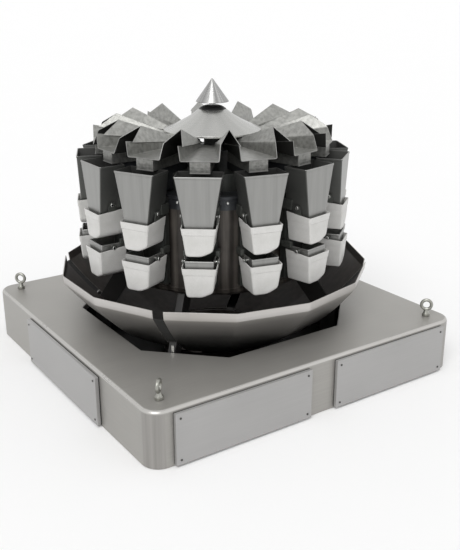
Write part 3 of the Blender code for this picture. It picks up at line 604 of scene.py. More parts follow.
@dataclass(frozen=True)
class Layout:
    """Places that the pieces share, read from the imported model."""

    heads: int
    pivot_radius: float
    pool_pivot: float
    weigh_pivot: float
    base_reach: float
    base_height: float
    leg_corners: tuple[int, ...] = (1, 5, 8, 12)

    @classmethod
    def read(cls, joints: Iterable[dict]) -> "Layout":
        """Reads the ring of hinges and the base.

        Args:
            joints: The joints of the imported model.

        Returns:
            The shared places.
        """
        pins = {joint["child"]: Vector(joint["pos_m"]) for joint in joints}
        pool, weigh = pins["pool_gate_01"], pins["weigh_gate_01"]
        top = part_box("base_housing")[1]
        heads = sum(name.startswith("pool_gate") for name in pins)
        return cls(heads, pool.xy.length, pool.z, weigh.z, top.x, top.z)

    @property
    def pitch(self) -> float:
        """Angle from one head to the next."""
        return 2 * pi / self.heads

    def turned(self, number: float) -> Matrix:
        """The place of a head in the ring, from its number."""
        return Matrix.Rotation(number * self.pitch, 4, "Z")

    def corner(self, radius: float, number: float, z: float) -> Vector:
        """A corner of a ring with one flat side for each head, by its distance from the axis."""
        return polar(radius, (number + 0.5) * self.pitch, z)

    def to_corner(self, flat: float) -> float:
        """The distance of a corner, from that of a flat side."""
        return flat / cos(self.pitch / 2)


def polar(radius: float, angle: float, z: float) -> Vector:
    """A point given by its distance from the axis, its angle and its height."""
    return Vector((radius * cos(angle), radius * sin(angle), z))


def mixed(low: float, high: float, share: float) -> float:
    """The value at a share of the way."""
    return low + (high - low) * share


def circle(radius: float, z: float, steps: int) -> Ring:
    """A ring of points about the axis."""
    return [polar(radius, 2 * pi * step / steps, z) for step in range(steps)]


def quarter_turn(steps: int) -> list[float]:
    """Angles from nothing to a right angle."""
    return [step * pi / (2 * steps) for step in range(steps + 1)]


def bent_corner(start: Vector, corner: Vector, end: Vector) -> Ring:
    """The three points of a small bend at a corner."""
    return [start, (start + end) / 4 + corner / 2, end]


def rounded_rectangle(low: Vector, high: Vector, z: float, corner: float, steps: int = 3) -> Ring:
    """A rectangle in plan with rounded corners.

    Args:
        low: Its lowest x and y.
        high: Its highest x and y.
        z: Its height.
        corner: The radius of its corners.
        steps: Faces in each corner.

    Returns:
        The ring of points, counter-clockwise from above.
    """
    ring = []
    centres = ((high.x, high.y), (low.x, high.y), (low.x, low.y), (high.x, low.y))
    for quarter, (x, y) in enumerate(centres):
        inward = (-1 if x == high.x else 1, -1 if y == high.y else 1)
        for step in range(steps + 1):
            angle = (quarter + step / steps) * pi / 2
            ring.append(Vector((x + inward[0] * corner + corner * cos(angle),
                                y + inward[1] * corner + corner * sin(angle), z)))
    return ring


def softened(points: Sequence[Vector], bend: float) -> Ring:
    """A folded line with each of its inner corners made into a small bend.

    Args:
        points: The corners of the line.
        bend: How far from the corner the bend begins.

    Returns:
        The line with three points for each inner corner.
    """
    line = [points[0]]
    for before, corner, after in zip(points, points[1:], points[2:]):
        start = corner + (before - corner).normalized() * bend
        end = corner + (after - corner).normalized() * bend
        line += bent_corner(start, corner, end)
    return [*line, points[-1]]


def smooth_line(points: Sequence[Vector], steps: int) -> Ring:
    """A smooth curve through points.

    Args:
        points: The points, in their order.
        steps: Pieces between one point and the next.

    Returns:
        The points of the curve.
    """
    line = []
    spaced = [points[0] * 2 - points[1], *points, points[-1] * 2 - points[-2]]
    for before, start, end, after in zip(spaced, spaced[1:], spaced[2:], spaced[3:]):
        for step in range(steps):
            share = step / steps
            line.append((start * 2 + (end - before) * share
                         + (before * 2 - start * 5 + end * 4 - after) * share ** 2
                         + (start * 3 - before - end * 3 + after) * share ** 3) / 2)
    return [*line, points[-1]]


class Draft:
    """A mesh in the making, whose faces keep their finish."""

    def __init__(self, *finishes: Finish) -> None:
        """Starts empty, with every finish that its faces may take. The first is the usual one."""
        self.solid = bmesh.new()
        self.finishes = finishes

    def dress(self, face: bmesh.types.BMFace, finish: Finish | None) -> None:
        """Gives a face its finish, or the usual one."""
        face.material_index = self.number(finish)

    def number(self, finish: Finish | None) -> int:
        """The number of a finish, or of the usual one."""
        return 0 if finish is None else self.finishes.index(finish)

    def face(self, corners: Iterable[Vector], finish: Finish | None = None) -> None:
        """Adds a face between new points."""
        self.dress(self.solid.faces.new([self.solid.verts.new(point) for point in corners]), finish)

    def skin(self, rings: Sequence[Ring], finish: Finish | None = None, closed: bool = True,
             ends: bool = False) -> list[bmesh.types.BMFace]:
        """Joins rings of points, each to the next.

        Args:
            rings: Rings with as many points each.
            finish: The finish.
            closed: Whether each ring comes back to its start.
            ends: Whether the first and the last ring are filled.

        Returns:
            The new faces.
        """
        rows = [[self.solid.verts.new(point) for point in ring] for ring in rings]
        count = len(rows[0])
        made = []
        for low, high in zip(rows, rows[1:]):
            for here in range(count if closed else count - 1):
                there = (here + 1) % count
                made.append(self.solid.faces.new((low[here], low[there], high[there], high[here])))
        if ends:
            made += [self.solid.faces.new(rows[0][::-1]), self.solid.faces.new(rows[-1])]
        for face in made:
            self.dress(face, finish)
        return made

    def block(self, rings: Sequence[Ring], finish: Finish | None = None, edge: float = 0.0) -> None:
        """A closed solid between rings, its sharp edges rounded.

        Args:
            rings: Rings with as many points each.
            finish: The finish.
            edge: The radius of its edges.
        """
        faces = self.skin(rings, finish, ends=True)
        if edge:
            bmesh.ops.recalc_face_normals(self.solid, faces=faces)
            edges = dict.fromkeys(line for face in faces for line in face.edges
                                  if line.calc_face_angle(0.0) > BLOCK_ANGLE)
            bmesh.ops.bevel(self.solid, geom=list(edges), offset=edge, segments=EDGE_STEPS, affect="EDGES",
                            profile=ROUND_PROFILE, material=self.number(finish))

    def box(self, low: Sequence[float], high: Sequence[float], finish: Finish | None = None,
            edge: float = 0.0) -> None:
        """A box between two corners."""
        corners = ((low[0], low[1]), (high[0], low[1]), (high[0], high[1]), (low[0], high[1]))
        self.block([[Vector((*corner, z)) for corner in corners] for z in (low[2], high[2])], finish, edge)

    def rod(self, start: Vector, end: Vector, radius: float, finish: Finish | None = None, sides: int = 20,
            edge: float = 0.0) -> None:
        """A round rod between two points, its ends rounded.

        Args:
            start: The middle of one end.
            end: The middle of the other.
            radius: Its radius.
            finish: The finish.
            sides: Faces round it.
            edge: The radius of the rim of each end.
        """
        along = (end - start).normalized()
        turn = along.to_track_quat("Z", "Y").to_matrix()
        levels = [(radius, start), (radius, end)]
        if edge:
            round_end = [(radius - edge * (1 - cos(angle)), edge * (1 - sin(angle)))
                         for angle in quarter_turn(ROD_END_STEPS)]
            levels = [(wide, start + along * depth) for wide, depth in round_end[::-1]]
            levels += [(wide, end - along * depth) for wide, depth in round_end]
        rings = [[middle + turn @ point for point in circle(wide, 0, sides)] for wide, middle in levels]
        self.skin(rings, finish, ends=True)

    def lathe(self, profile: Iterable[Sequence[float]], finish: Finish | None = None,
              steps: int = 96) -> None:
        """A profile of (radius, z) turned about the axis."""
        self.skin([circle(max(radius, 0.0), z, steps) for radius, z in profile], finish)

    def take(self, mesh: Mesh) -> None:
        """Adds a finished mesh that has the same finishes."""
        self.solid.from_mesh(mesh)
        bpy.data.meshes.remove(mesh)

    def turn(self, place: Matrix) -> None:
        """Moves all that is there."""
        bmesh.ops.transform(self.solid, matrix=place, verts=self.solid.verts)

    def mesh(self, name: str, outward: bool = True, sharp: float = 32) -> Mesh:
        """Closes the draft.

        Args:
            name: The name of the mesh.
            outward: Whether the faces are turned to point out of the solid.
            sharp: The angle in degrees from which an edge is sharp.

        Returns:
            The mesh, with its materials.
        """
        bmesh.ops.remove_doubles(self.solid, verts=self.solid.verts, dist=MERGE_DISTANCE)
        if outward:
            bmesh.ops.recalc_face_normals(self.solid, faces=self.solid.faces)
        made = bpy.data.meshes.new(name)
        self.solid.to_mesh(made)
        self.solid.free()
        for finish in self.finishes:
            made.materials.append(finish.material())
        made.shade_smooth()
        made.set_sharp_from_angle(angle=radians(sharp))
        return made


def linked(name: str, data: bpy.types.ID) -> bpy.types.Object:
    """A new object in the scene.

    Args:
        name: The name of the object.
        data: Its mesh, lamp or camera.

    Returns:
        The object.
    """
    item = bpy.data.objects.new(name, data)
    bpy.context.scene.collection.objects.link(item)
    return item


def modified(mesh: Mesh, *steps: tuple[str, dict]) -> Mesh:
    """A mesh with modifiers applied.

    Args:
        mesh: The mesh, which is used up.
        steps: The type of each modifier and its settings.

    Returns:
        The new mesh.
    """
    item = linked(mesh.name, mesh)
    for kind, settings in steps:
        modifier = item.modifiers.new(kind.lower(), kind)
        for key, value in settings.items():
            setattr(modifier, key, value)
    bpy.context.view_layer.update()
    seen = item.evaluated_get(bpy.context.evaluated_depsgraph_get())
    made = bpy.data.meshes.new_from_object(seen)
    bpy.data.objects.remove(item)
    made.name = mesh.name
    bpy.data.meshes.remove(mesh)
    return made


def thickened(mesh: Mesh, sheet: float, side: float, inside: int = 0, rim: int = 0,
              edge: float = 0.0) -> Mesh:
    """A surface made into sheet.

    Args:
        mesh: The surface.
        sheet: The thickness.
        side: 1 to thicken along the normals, -1 against them, 0 for both.
        inside: Added to the finish numbers of the second face.
        rim: Added to the finish numbers of the edges.
        edge: The radius of the edges.

    Returns:
        The new mesh.
    """
    steps = [("SOLIDIFY", {"thickness": sheet, "offset": side, "use_even_offset": True,
                           "material_offset": inside, "material_offset_rim": rim})]
    if edge:
        steps.append(("BEVEL", {"width": edge, "segments": EDGE_STEPS, "limit_method": "ANGLE",
                                "angle_limit": SHEET_ANGLE, "harden_normals": False}))
    return modified(mesh, *steps)


def settled(mesh: Mesh) -> Mesh:
    """A mesh whose normals follow its large faces, so that they stay flat next to small edges."""
    return modified(mesh, ("WEIGHTED_NORMAL", {"keep_sharp": True, "weight": NORMAL_WEIGHT}))


def piece(name: str, mesh: Mesh, body: str = MACHINE, place: Matrix | None = None,
          stands_for: Sequence[str] = ()) -> None:
    """Puts a piece in the scene.

    Args:
        name: The name of the piece.
        mesh: Its mesh, which pieces may share.
        body: The body that it rides on.
        place: Where it goes, or None where it is drawn in place.
        stands_for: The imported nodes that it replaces.
    """
    item = linked(name, mesh)
    if place is not None:
        item.matrix_world = place
    bpy.context.view_layer.update()
    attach(item, body)
    if stands_for:
        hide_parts(*stands_for)
    LOG.info("piece %s on %s", name, body)


@dataclass
class BaseHousing:
    """The square housing with its well, its cover plates and the tabs at the legs."""

    layout: Layout
    plate_thickness: float = 0.0148
    corner: float = 0.056
    least_corner: float = 0.001
    corner_steps: int = 12
    side_steps: int = 18
    top_round: float = 0.012
    foot_round: float = 0.002
    round_steps: int = 10
    bend_tilt: Pair = (0.25, 0.97)
    corner_turn: float = 0.1
    well_half_width: float = 0.420
    well_chamfer_distance: float = 0.45255
    well_lip: float = 0.004
    well_shade_depth: float = 0.024
    well_floor: float = 0.020
    outlet_radius: float = 0.160
    plate_low: float = 0.006
    plate_high_inset: float = 0.013
    plate_edge: float = 0.0016
    gasket: float = 0.0030
    gasket_inset: float = 0.0012
    overlap: float = 0.001
    screw_inset: float = 0.016
    screw_radius: float = 0.0036
    screw_sunk: float = 0.0005
    screw_height: float = 0.0022
    screw_round: float = 0.0008
    screw_sides: int = 16
    socket_radius: float = 0.0018
    socket_proud: float = 0.00015
    socket_depth: float = 0.0010
    socket_sides: int = 6
    long_plate: Pair = (-0.528, -0.045)
    short_plate: Pair = (0.055, 0.535)
    side_plate: Pair = (-0.260, 0.290)
    tab_radius: float = 0.4480
    tab_size: Triple = (0.006, 0.009, 0.026)
    tab_sunk: float = 0.15
    tab_edge: float = 0.001
    tab_turn: float = radians(1.4)

    def __post_init__(self) -> None:
        """Works out the half side of the housing without its plates."""
        self.half = self.layout.base_reach - self.plate_thickness
        self.height = self.layout.base_height

    def square(self, inset: float, z: float) -> Ring:
        """The rounded square outline, drawn in by an inset.

        Args:
            inset: How far it is drawn in.
            z: The height.

        Returns:
            The ring of points.
        """
        half, corner = self.half - inset, max(self.corner - inset, self.least_corner)
        centre = half - corner

        def reach(cosine: float, sine: float) -> float:
            """Distance of the outline where cosine and sine have these sizes.

            Args:
                cosine: Its size.
                sine: Its size.

            Returns:
                The distance.
            """
            side = half / max(cosine, sine)
            if side * min(cosine, sine) <= centre:
                return side
            middle = centre * (cosine + sine)
            return middle + sqrt(max(middle ** 2 - 2 * centre ** 2 + corner ** 2, 0.0))

        return self.outline(reach, z)

    def well(self, grow: float, z: float) -> Ring:
        """The eight sided outline of the well, made wider by grow."""
        wide, slant = self.well_half_width + grow, self.well_chamfer_distance + grow
        return self.outline(lambda cosine, sine: min(wide / max(cosine, sine),
                                                     slant * sqrt(2) / (cosine + sine)), z)

    def outlet(self, z: float) -> Ring:
        """The round outline of the outlet."""
        return self.outline(lambda cosine, sine: self.outlet_radius, z)

    def outline(self, reach: Callable[[float, float], float], z: float) -> Ring:
        """Points at the same angles for every outline, so that they join up.

        Args:
            reach: Gives the distance from the axis for the sizes of cosine and sine.
            z: The height.

        Returns:
            The ring of points.
        """
        return [polar(reach(abs(cos(angle)), abs(sin(angle))), angle, z) for angle in self.directions()]

    def directions(self) -> list[float]:
        """Angles of the points, close together at the corners of the base.

        Returns:
            The angles, once round from the x axis.
        """
        straight = self.well_chamfer_distance * sqrt(2) - self.well_half_width
        bend = atan2(straight, self.well_half_width)
        start = atan2(self.half - self.corner, self.half)
        round_corner = [mixed(start, pi / 2 - start, step / self.corner_steps)
                        for step in range(self.corner_steps + 1)]
        side = [angle for angle in quarter_turn(self.side_steps)[:-1]
                if abs(angle - pi / 4) > pi / 4 - start]
        quarter = sorted({*side, *round_corner, bend, pi / 2 - bend})
        return [angle + turn * pi / 2 for turn in range(4) for angle in quarter]

    def housing_mesh(self) -> Mesh:
        """The housing with its rounded edges, its well and the outlet.

        Returns:
            The mesh, in place.
        """
        draft = Draft(SHEET_STEEL, WELL_SHADE_BLACK, BEND_HIGHLIGHT_STEEL, CORNER_REFLECTION_STEEL)
        hole = self.outlet(0.0)
        outside = [hole, self.square(self.foot_round, 0.0), self.square(0.0, self.foot_round)]
        for angle in quarter_turn(self.round_steps):
            inset, drop = self.top_round * (1 - cos(angle)), self.top_round * (1 - sin(angle))
            outside.append(self.square(inset, self.height - drop))
        for angle in quarter_turn(self.round_steps)[::2]:
            grow, drop = self.well_lip * (1 - sin(angle)), self.well_lip * (1 - cos(angle))
            outside.append(self.well(grow, self.height - drop))
        for face in draft.skin(outside):
            self.paint_edge_and_corner_light(draft, face)
        # The top of the well's wall keeps the sheet; below that the wall, the floor and the outlet are
        # painted near black as painted shade.
        wall = self.well(0.0, self.height - self.well_shade_depth)
        draft.skin([outside[-1], wall])
        draft.skin([wall, self.well(0.0, self.well_floor), self.outlet(self.well_floor), hole], WELL_SHADE_BLACK)
        return settled(draft.mesh("base_housing_shell"))

    def paint_edge_and_corner_light(self, draft: Draft, face: bmesh.types.BMFace) -> None:
        """Gives a face of the outside painted light: a lighter painted highlight where the sheet is bent
        over at the top and at the lip of the well, and darker painted reflections on the upright corners.

        Args:
            draft: The housing in the making.
            face: The face.
        """
        face.normal_update()
        up = abs(face.normal.z)
        turned = min(abs(face.normal.x), abs(face.normal.y))
        if self.bend_tilt[0] < up < self.bend_tilt[1]:
            draft.dress(face, BEND_HIGHLIGHT_STEEL)
        elif up < self.corner_turn < turned and face.calc_center_median().xy.length > self.half:
            draft.dress(face, CORNER_REFLECTION_STEEL)

    def plate_mesh(self, low: float, high: float, turn: float) -> Mesh:
        """One cover plate on its gasket, with a screw near each corner.

        Args:
            low: Where it begins along the side.
            high: Where it ends.
            turn: The turn from the front of the base.

        Returns:
            The mesh, in place.
        """
        draft = Draft(PLATE_STEEL, GASKET, SCREW_DARK)
        face, foot = -self.half - self.plate_thickness, -self.half
        top = self.height - self.plate_high_inset
        draft.box((low, face, self.plate_low), (high, foot - self.gasket, top), edge=self.plate_edge)
        inset = self.gasket_inset
        draft.box((low + inset, foot - self.gasket - self.overlap, self.plate_low + inset),
                  (high - inset, foot + self.overlap, top - inset), GASKET)
        for x in (low + self.screw_inset, high - self.screw_inset):
            for z in (self.plate_low + self.screw_inset, top - self.screw_inset):
                root = Vector((x, face + self.screw_sunk, z))
                head = root - Vector((0, self.screw_height, 0))
                draft.rod(root, head, self.screw_radius, SCREW_DARK, self.screw_sides, self.screw_round)
                socket = head - Vector((0, self.socket_proud, 0))
                draft.rod(socket + Vector((0, self.socket_depth, 0)), socket, self.socket_radius, GASKET,
                          self.socket_sides)
        draft.turn(Matrix.Rotation(turn, 4, "Z"))
        return settled(draft.mesh("cover_plate"))

    def tab_mesh(self) -> Mesh:
        """The tabs that hold the legs at the edge of the well.

        Returns:
            The mesh, in place.
        """
        draft = Draft(FASTENER)
        deep, wide, tall = self.tab_size
        low = self.height - tall * self.tab_sunk
        for corner in self.layout.leg_corners:
            tab = Draft(FASTENER)
            tab.box((self.tab_radius - deep / 2, -wide / 2, low),
                    (self.tab_radius + deep / 2, wide / 2, low + tall), edge=self.tab_edge)
            tab.turn(self.layout.turned(corner + 0.5) @ Matrix.Rotation(self.tab_turn, 4, "Z"))
            draft.take(tab.mesh("tab"))
        return settled(draft.mesh("leg_tabs"))

    def build(self) -> None:
        """Makes the housing and dresses it."""
        piece("base_housing_shell", self.housing_mesh(), stands_for=("base_housing",))
        plates = (("front_long", self.long_plate, 0.0), ("front_short", self.short_plate, 0.0),
                  ("rear_long", self.long_plate, pi), ("rear_short", self.short_plate, pi),
                  ("left", self.side_plate, -pi / 2), ("right", self.side_plate, pi / 2))
        for name, span, turn in plates:
            piece(f"cover_plate_{name}", self.plate_mesh(*span, turn))
        piece("leg_tabs", self.tab_mesh())


@dataclass
class LiftingEyes:
    """The four lifting eyes on the corners of the base."""

    layout: Layout
    inset: float = 0.0828
    gap: float = 0.0003
    ring_radius: float = 0.0168
    ring_height: float = 0.041
    ring_steps: int = 40
    bar_radius: float = 0.0055
    bar_steps: int = 16
    collar_radius: float = 0.0135
    collar_height: float = 0.011
    collar_round: float = 0.002
    shank_radius: float = 0.0075
    shank_neck: float = 0.006
    taper: float = 0.8
    sides: int = 32

    def eye_mesh(self) -> Mesh:
        """One eye, its foot at the origin and its ring in the x z plane.

        Returns:
            The mesh.
        """
        draft = Draft(EYE_STEEL)
        rings = []
        for spoke in circle(1.0, 0.0, self.ring_steps):
            out = Vector((spoke.x, 0, spoke.y))
            middle = Vector((0, 0, self.ring_height)) + out * self.ring_radius
            rings.append([middle + out * point.x + Vector((0, point.y, 0))
                          for point in circle(self.bar_radius, 0, self.bar_steps)])
        draft.skin([*rings, rings[0]])
        draft.rod(Vector((0, 0, 0)), Vector((0, 0, self.collar_height)), self.collar_radius,
                  sides=self.sides, edge=self.collar_round)
        top = self.ring_height - self.ring_radius
        draft.lathe(((self.collar_radius * self.taper, self.collar_height),
                     (self.shank_radius, top - self.shank_neck),
                     (self.shank_radius * self.taper, top), (0, top)), steps=self.sides)
        return draft.mesh("lifting_eye")

    def build(self) -> None:
        """Makes the eyes and dresses them."""
        mesh = settled(self.eye_mesh())
        reach = self.layout.base_reach - self.inset
        places = (("front_left", -1, -1), ("front_right", 1, -1),
                  ("rear_right", 1, 1), ("rear_left", -1, 1))
        for name, x, y in places:
            place = Matrix.Translation((x * reach, y * reach, self.layout.base_height + self.gap))
            piece(f"eye_bolt_{name}", mesh, place=place @ Matrix.Rotation(atan2(y, x), 4, "Z"),
                  stands_for=(f"lifting_eye_{name}",))


@dataclass
class DischargeFunnel:
    """The funnel that the bowl empties into."""

    spout_radius: float = 0.150
    wall: float = 0.003
    foot: float = 0.004
    spout_top: float = 0.046
    rim_inner: float = 0.180
    rim_outer: float = 0.214
    rim_height: float = 0.075
    flange_radius: float = 0.190
    flange: Pair = (0.0203, 0.0253)
    bevel: float = 0.001
    steps: int = 112

    def build(self) -> None:
        """Makes the funnel and dresses it."""
        inner, outer, wall, bevel = self.spout_radius, self.spout_radius + self.wall, self.wall, self.bevel
        low, high = self.flange
        start = (inner, self.foot)
        profile = (
            start, (inner, self.spout_top), (self.rim_inner, self.rim_height),
            (self.rim_outer - bevel, self.rim_height), (self.rim_outer, self.rim_height - bevel),
            (self.rim_outer, self.rim_height - wall), (self.rim_inner + wall, self.rim_height - wall),
            (outer, self.spout_top - wall), (outer, high), (self.flange_radius - bevel, high),
            (self.flange_radius, high - bevel), (self.flange_radius, low), (outer, low),
            (outer, self.foot), start)
        # The whole funnel takes the near black finish of the bowl's inside: painted shade under the bowl.
        draft = Draft(BOWL_INNER_SHADE)
        draft.lathe(profile, steps=self.steps)
        piece("funnel_shell", settled(draft.mesh("funnel_shell")),
              stands_for=("discharge_funnel",))


@dataclass
class CollectingBowl:
    """The collecting bowl in four folded segments, with a slot for each leg between them."""

    layout: Layout
    rim_radius: float = 0.541
    rim_height: float = 0.352
    band: float = 0.028
    band_inset: float = 0.004
    band_bend: float = 0.003
    foot_radius: float = 0.197
    foot_height: float = 0.0753
    bulge: float = 0.036
    slot: float = 0.035
    sheet: float = 0.003
    sheet_edge: float = 0.0006
    fold: float = 0.007
    steps: int = 14
    sharp: float = 22
    flap_sheet: float = 0.0012
    flap_lap: float = 0.005
    flap_end: float = 0.430

    def profile(self) -> Ring:
        """Corner radius and height down the bowl: an upright band, then a curved slope.

        Returns:
            The (radius, height) points from the rim to the foot.
        """
        start = Vector((self.rim_radius - self.band_inset, self.rim_height - self.band))
        end = Vector((self.foot_radius, self.foot_height))
        chord = end - start
        outward = Vector((-chord.y, chord.x)).normalized()
        slope = [start + chord * share + outward * self.bulge * sin(pi * share)
                 for share in (step / self.steps for step in range(self.steps + 1))]
        rim = Vector((self.rim_radius, self.rim_height))
        return [*softened([rim, start, slope[1]], self.band_bend)[:-1], *slope[1:]]

    def fold_at(self, point: Vector, number: int) -> tuple[Vector, Vector, Vector]:
        """A corner of the bowl, and the ways from it to the corners before and after.

        Args:
            point: Radius and height of the corner.
            number: The corner.

        Returns:
            The corner and both ways, each a metre long.
        """
        here, before, after = (self.layout.corner(point.x, number + step, point.y) for step in (0, -1, 1))
        return here, (before - here).normalized(), (after - here).normalized()

    def columns(self, number: int, first: int, last: int) -> list[Ring]:
        """The lines of points down the bowl at one of its corners.

        Args:
            number: The corner.
            first: The corner where the segment begins.
            last: The corner where it ends.

        Returns:
            One line where the segment ends, or else three round the fold.
        """
        rows = []
        short = self.layout.to_corner(self.slot / 2)
        for point in self.profile():
            here, before, after = self.fold_at(point, number)
            if number == first:
                rows.append([here + after * short])
            elif number == last:
                rows.append([here + before * short])
            else:
                rows.append(bent_corner(here + before * self.fold, here, here + after * self.fold))
        return [list(line) for line in zip(*rows)]

    def segment_mesh(self, first: int, last: int) -> Mesh:
        """One segment of the bowl between two of its corners.

        Args:
            first: The corner where it begins.
            last: The corner where it ends.

        Returns:
            The mesh, in place.
        """
        # The inner face is near black as painted shade; the outer face takes the bowl sheet.
        draft = Draft(BOWL_INNER_SHADE, BOWL_SHADED_STEEL, BOWL_EDGE)
        lines = [line for number in range(first, last + 1) for line in self.columns(number, first, last)]
        draft.skin(lines[::-1], closed=False)
        mesh = draft.mesh("bowl_segment", outward=False, sharp=self.sharp)
        return settled(thickened(mesh, self.sheet, 1.0, inside=draft.number(BOWL_SHADED_STEEL),
                                 rim=draft.number(BOWL_EDGE), edge=self.sheet_edge))

    def flap_mesh(self) -> Mesh:
        """The rubber flaps that close the slots between the band and the legs.

        Returns:
            The mesh, in place.
        """
        draft = Draft(GASKET)
        reach = self.layout.to_corner(self.slot / 2) + self.flap_lap
        slope = [point + Vector((-self.flap_sheet, self.flap_sheet))
                 for point in self.profile()[2:] if point.x > self.flap_end]
        for number in self.layout.leg_corners:
            rows = []
            for point in slope:
                here, before, after = self.fold_at(point, number)
                rows.append((here + before * reach, here, here + after * reach))
            draft.skin([list(line) for line in zip(*rows)], closed=False)
        return settled(thickened(draft.mesh("slot_flaps", outward=False), self.flap_sheet, 0.0))

    def build(self) -> None:
        """Makes the segments and dresses them."""
        cuts = self.layout.leg_corners
        ends = [*cuts, cuts[0] + self.layout.heads]
        for name, first, last in zip(("rear", "left", "front", "right"), ends, ends[1:]):
            piece(f"bowl_sheet_{name}", self.segment_mesh(first, last),
                  stands_for=(f"bowl_segment_{name}",))
        piece("slot_flaps", self.flap_mesh())


@dataclass
class CentreBody:
    """The drive housing in the middle, with its legs, feeder drives and post."""

    layout: Layout
    apothem: float = 0.340
    low: float = 0.335
    high: float = 0.660
    foot_steps: tuple[Pair, ...] = (
        (0.012, 0.0), (0.002, 0.010), (0.0, 0.022), (0.004, 0.024))
    head_steps: tuple[Pair, ...] = (
        (0.004, 0.012), (0.0, 0.010), (0.0, 0.002), (0.003, 0.0))
    panel_inset: float = 0.004
    corner_bend: float = 0.010
    works_low: float = 0.615
    deck_radius: float = 0.285
    deck_top: float = 0.716
    deck_round: float = 0.004
    deck_sides: int = 84
    post_radius: float = 0.030
    post_top: float = 0.800
    post_round: float = 0.001
    post_sides: int = 32
    overlap: float = 0.01
    leg_thickness: float = 0.025
    leg_foot: Pair = (0.385, 0.440)
    leg_low: float = 0.0203
    leg_knee: float = 0.165
    leg_top: Pair = (0.270, 0.336)
    leg_edge: float = 0.0025
    drive: Pair = (0.200, 0.362)
    drive_width: float = 0.052
    drive_heights: Pair = (0.666, 0.741)
    drive_edge: float = 0.003
    spring_places: Pair = (0.196, 0.3622)
    spring_sheet: float = 0.0022
    spring_insets: Pair = (0.006, 0.004)
    spring_edge: float = 0.0006
    bolt_radius: float = 0.0042
    bolt_reach: Pair = (-0.008, 0.003)
    bolt_drop: float = 0.020
    bolt_round: float = 0.0015
    bolt_sides: int = 16
    finishes: tuple[Finish, ...] = (DRUM_DARK, CASE_DARK, BRACKET_GREY, FASTENER, MECHANISM, LEG_DARK)

    def ring(self, inset: float, z: float) -> Ring:
        """The many sided outline of the drum with small bends at its corners, drawn in by an inset.

        Args:
            inset: How far it is drawn in.
            z: The height.

        Returns:
            The ring of points.
        """
        far = self.layout.to_corner(self.apothem) - inset
        corners = [self.layout.corner(far, number, z) for number in range(self.layout.heads)]
        return softened([corners[-1], *corners, corners[0]], self.corner_bend)[1:-1]

    def drum(self, draft: Draft) -> None:
        """The many sided drum with a collar at its foot and one at its top.

        Args:
            draft: The body in the making.
        """
        levels = [(inset, self.low + rise) for inset, rise in self.foot_steps]
        levels.append((self.panel_inset, self.works_low))
        levels += [(inset, self.high - drop) for inset, drop in self.head_steps]
        for face in draft.skin([self.ring(inset, z) for inset, z in levels], ends=True):
            if face.calc_center_median().z > self.works_low:
                draft.dress(face, MECHANISM)

    def legs(self, draft: Draft) -> None:
        """The four legs that pass through the slots of the bowl.

        Args:
            draft: The body in the making.
        """
        thick, half = self.leg_thickness, self.leg_thickness / 2
        (foot_in, foot_out), (top_in, top_out) = self.leg_foot, self.leg_top
        outline = ((foot_in, self.leg_low), (foot_out, self.leg_low), (foot_out, self.leg_knee),
                   (top_out, self.low), (top_out - thick, self.low + thick), (top_in, self.low + thick),
                   (top_in, self.low - thick), (foot_in, self.leg_knee - thick))
        for number in self.layout.leg_corners:
            leg = Draft(*self.finishes)
            leg.block([[Vector((x, y, z)) for x, z in outline] for y in (-half, half)],
                      LEG_DARK, self.leg_edge)
            leg.turn(self.layout.turned(number + 0.5))
            draft.take(leg.mesh("leg"))

    def drives(self, draft: Draft) -> None:
        """The vibrating drives under the pans, each with a leaf spring at both ends.

        Args:
            draft: The body in the making.
        """
        half = self.drive_width / 2
        low, high = self.drive_heights
        beside, above = self.spring_insets
        for number in range(self.layout.heads):
            drive = Draft(*self.finishes)
            drive.box((self.drive[0], -half, low), (self.drive[1], half, high), MECHANISM, self.drive_edge)
            for x in self.spring_places:
                drive.box((x, beside - half, low + above),
                          (x + self.spring_sheet, half - beside, high - above),
                          BRACKET_GREY, self.spring_edge)
            drive.turn(self.layout.turned(number))
            draft.take(drive.mesh("drive"))

    def bolts(self, draft: Draft) -> None:
        """A bright bolt at the top of each corner of the drum.

        Args:
            draft: The body in the making.
        """
        far, z = self.layout.to_corner(self.apothem), self.high - self.bolt_drop
        for number in range(self.layout.heads):
            start, end = (self.layout.corner(far + reach, number, z) for reach in self.bolt_reach)
            draft.rod(start, end, self.bolt_radius, FASTENER, self.bolt_sides, self.bolt_round)

    def posts(self, draft: Draft) -> None:
        """The round deck under the pans and the post that carries the cones.

        Args:
            draft: The body in the making.
        """
        kinds = ((self.high, self.deck_top, self.deck_radius, self.deck_sides, self.deck_round),
                 (self.deck_top, self.post_top, self.post_radius, self.post_sides, self.post_round))
        for low, high, radius, sides, edge in kinds:
            draft.rod(Vector((0, 0, low - self.overlap)), Vector((0, 0, high)), radius, CASE_DARK, sides,
                      edge)

    def build(self) -> None:
        """Makes the body and dresses it."""
        draft = Draft(*self.finishes)
        self.drum(draft)
        self.posts(draft)
        self.legs(draft)
        self.drives(draft)
        self.bolts(draft)
        piece("drive_housing", settled(draft.mesh("drive_housing")), stands_for=("centre_body",))


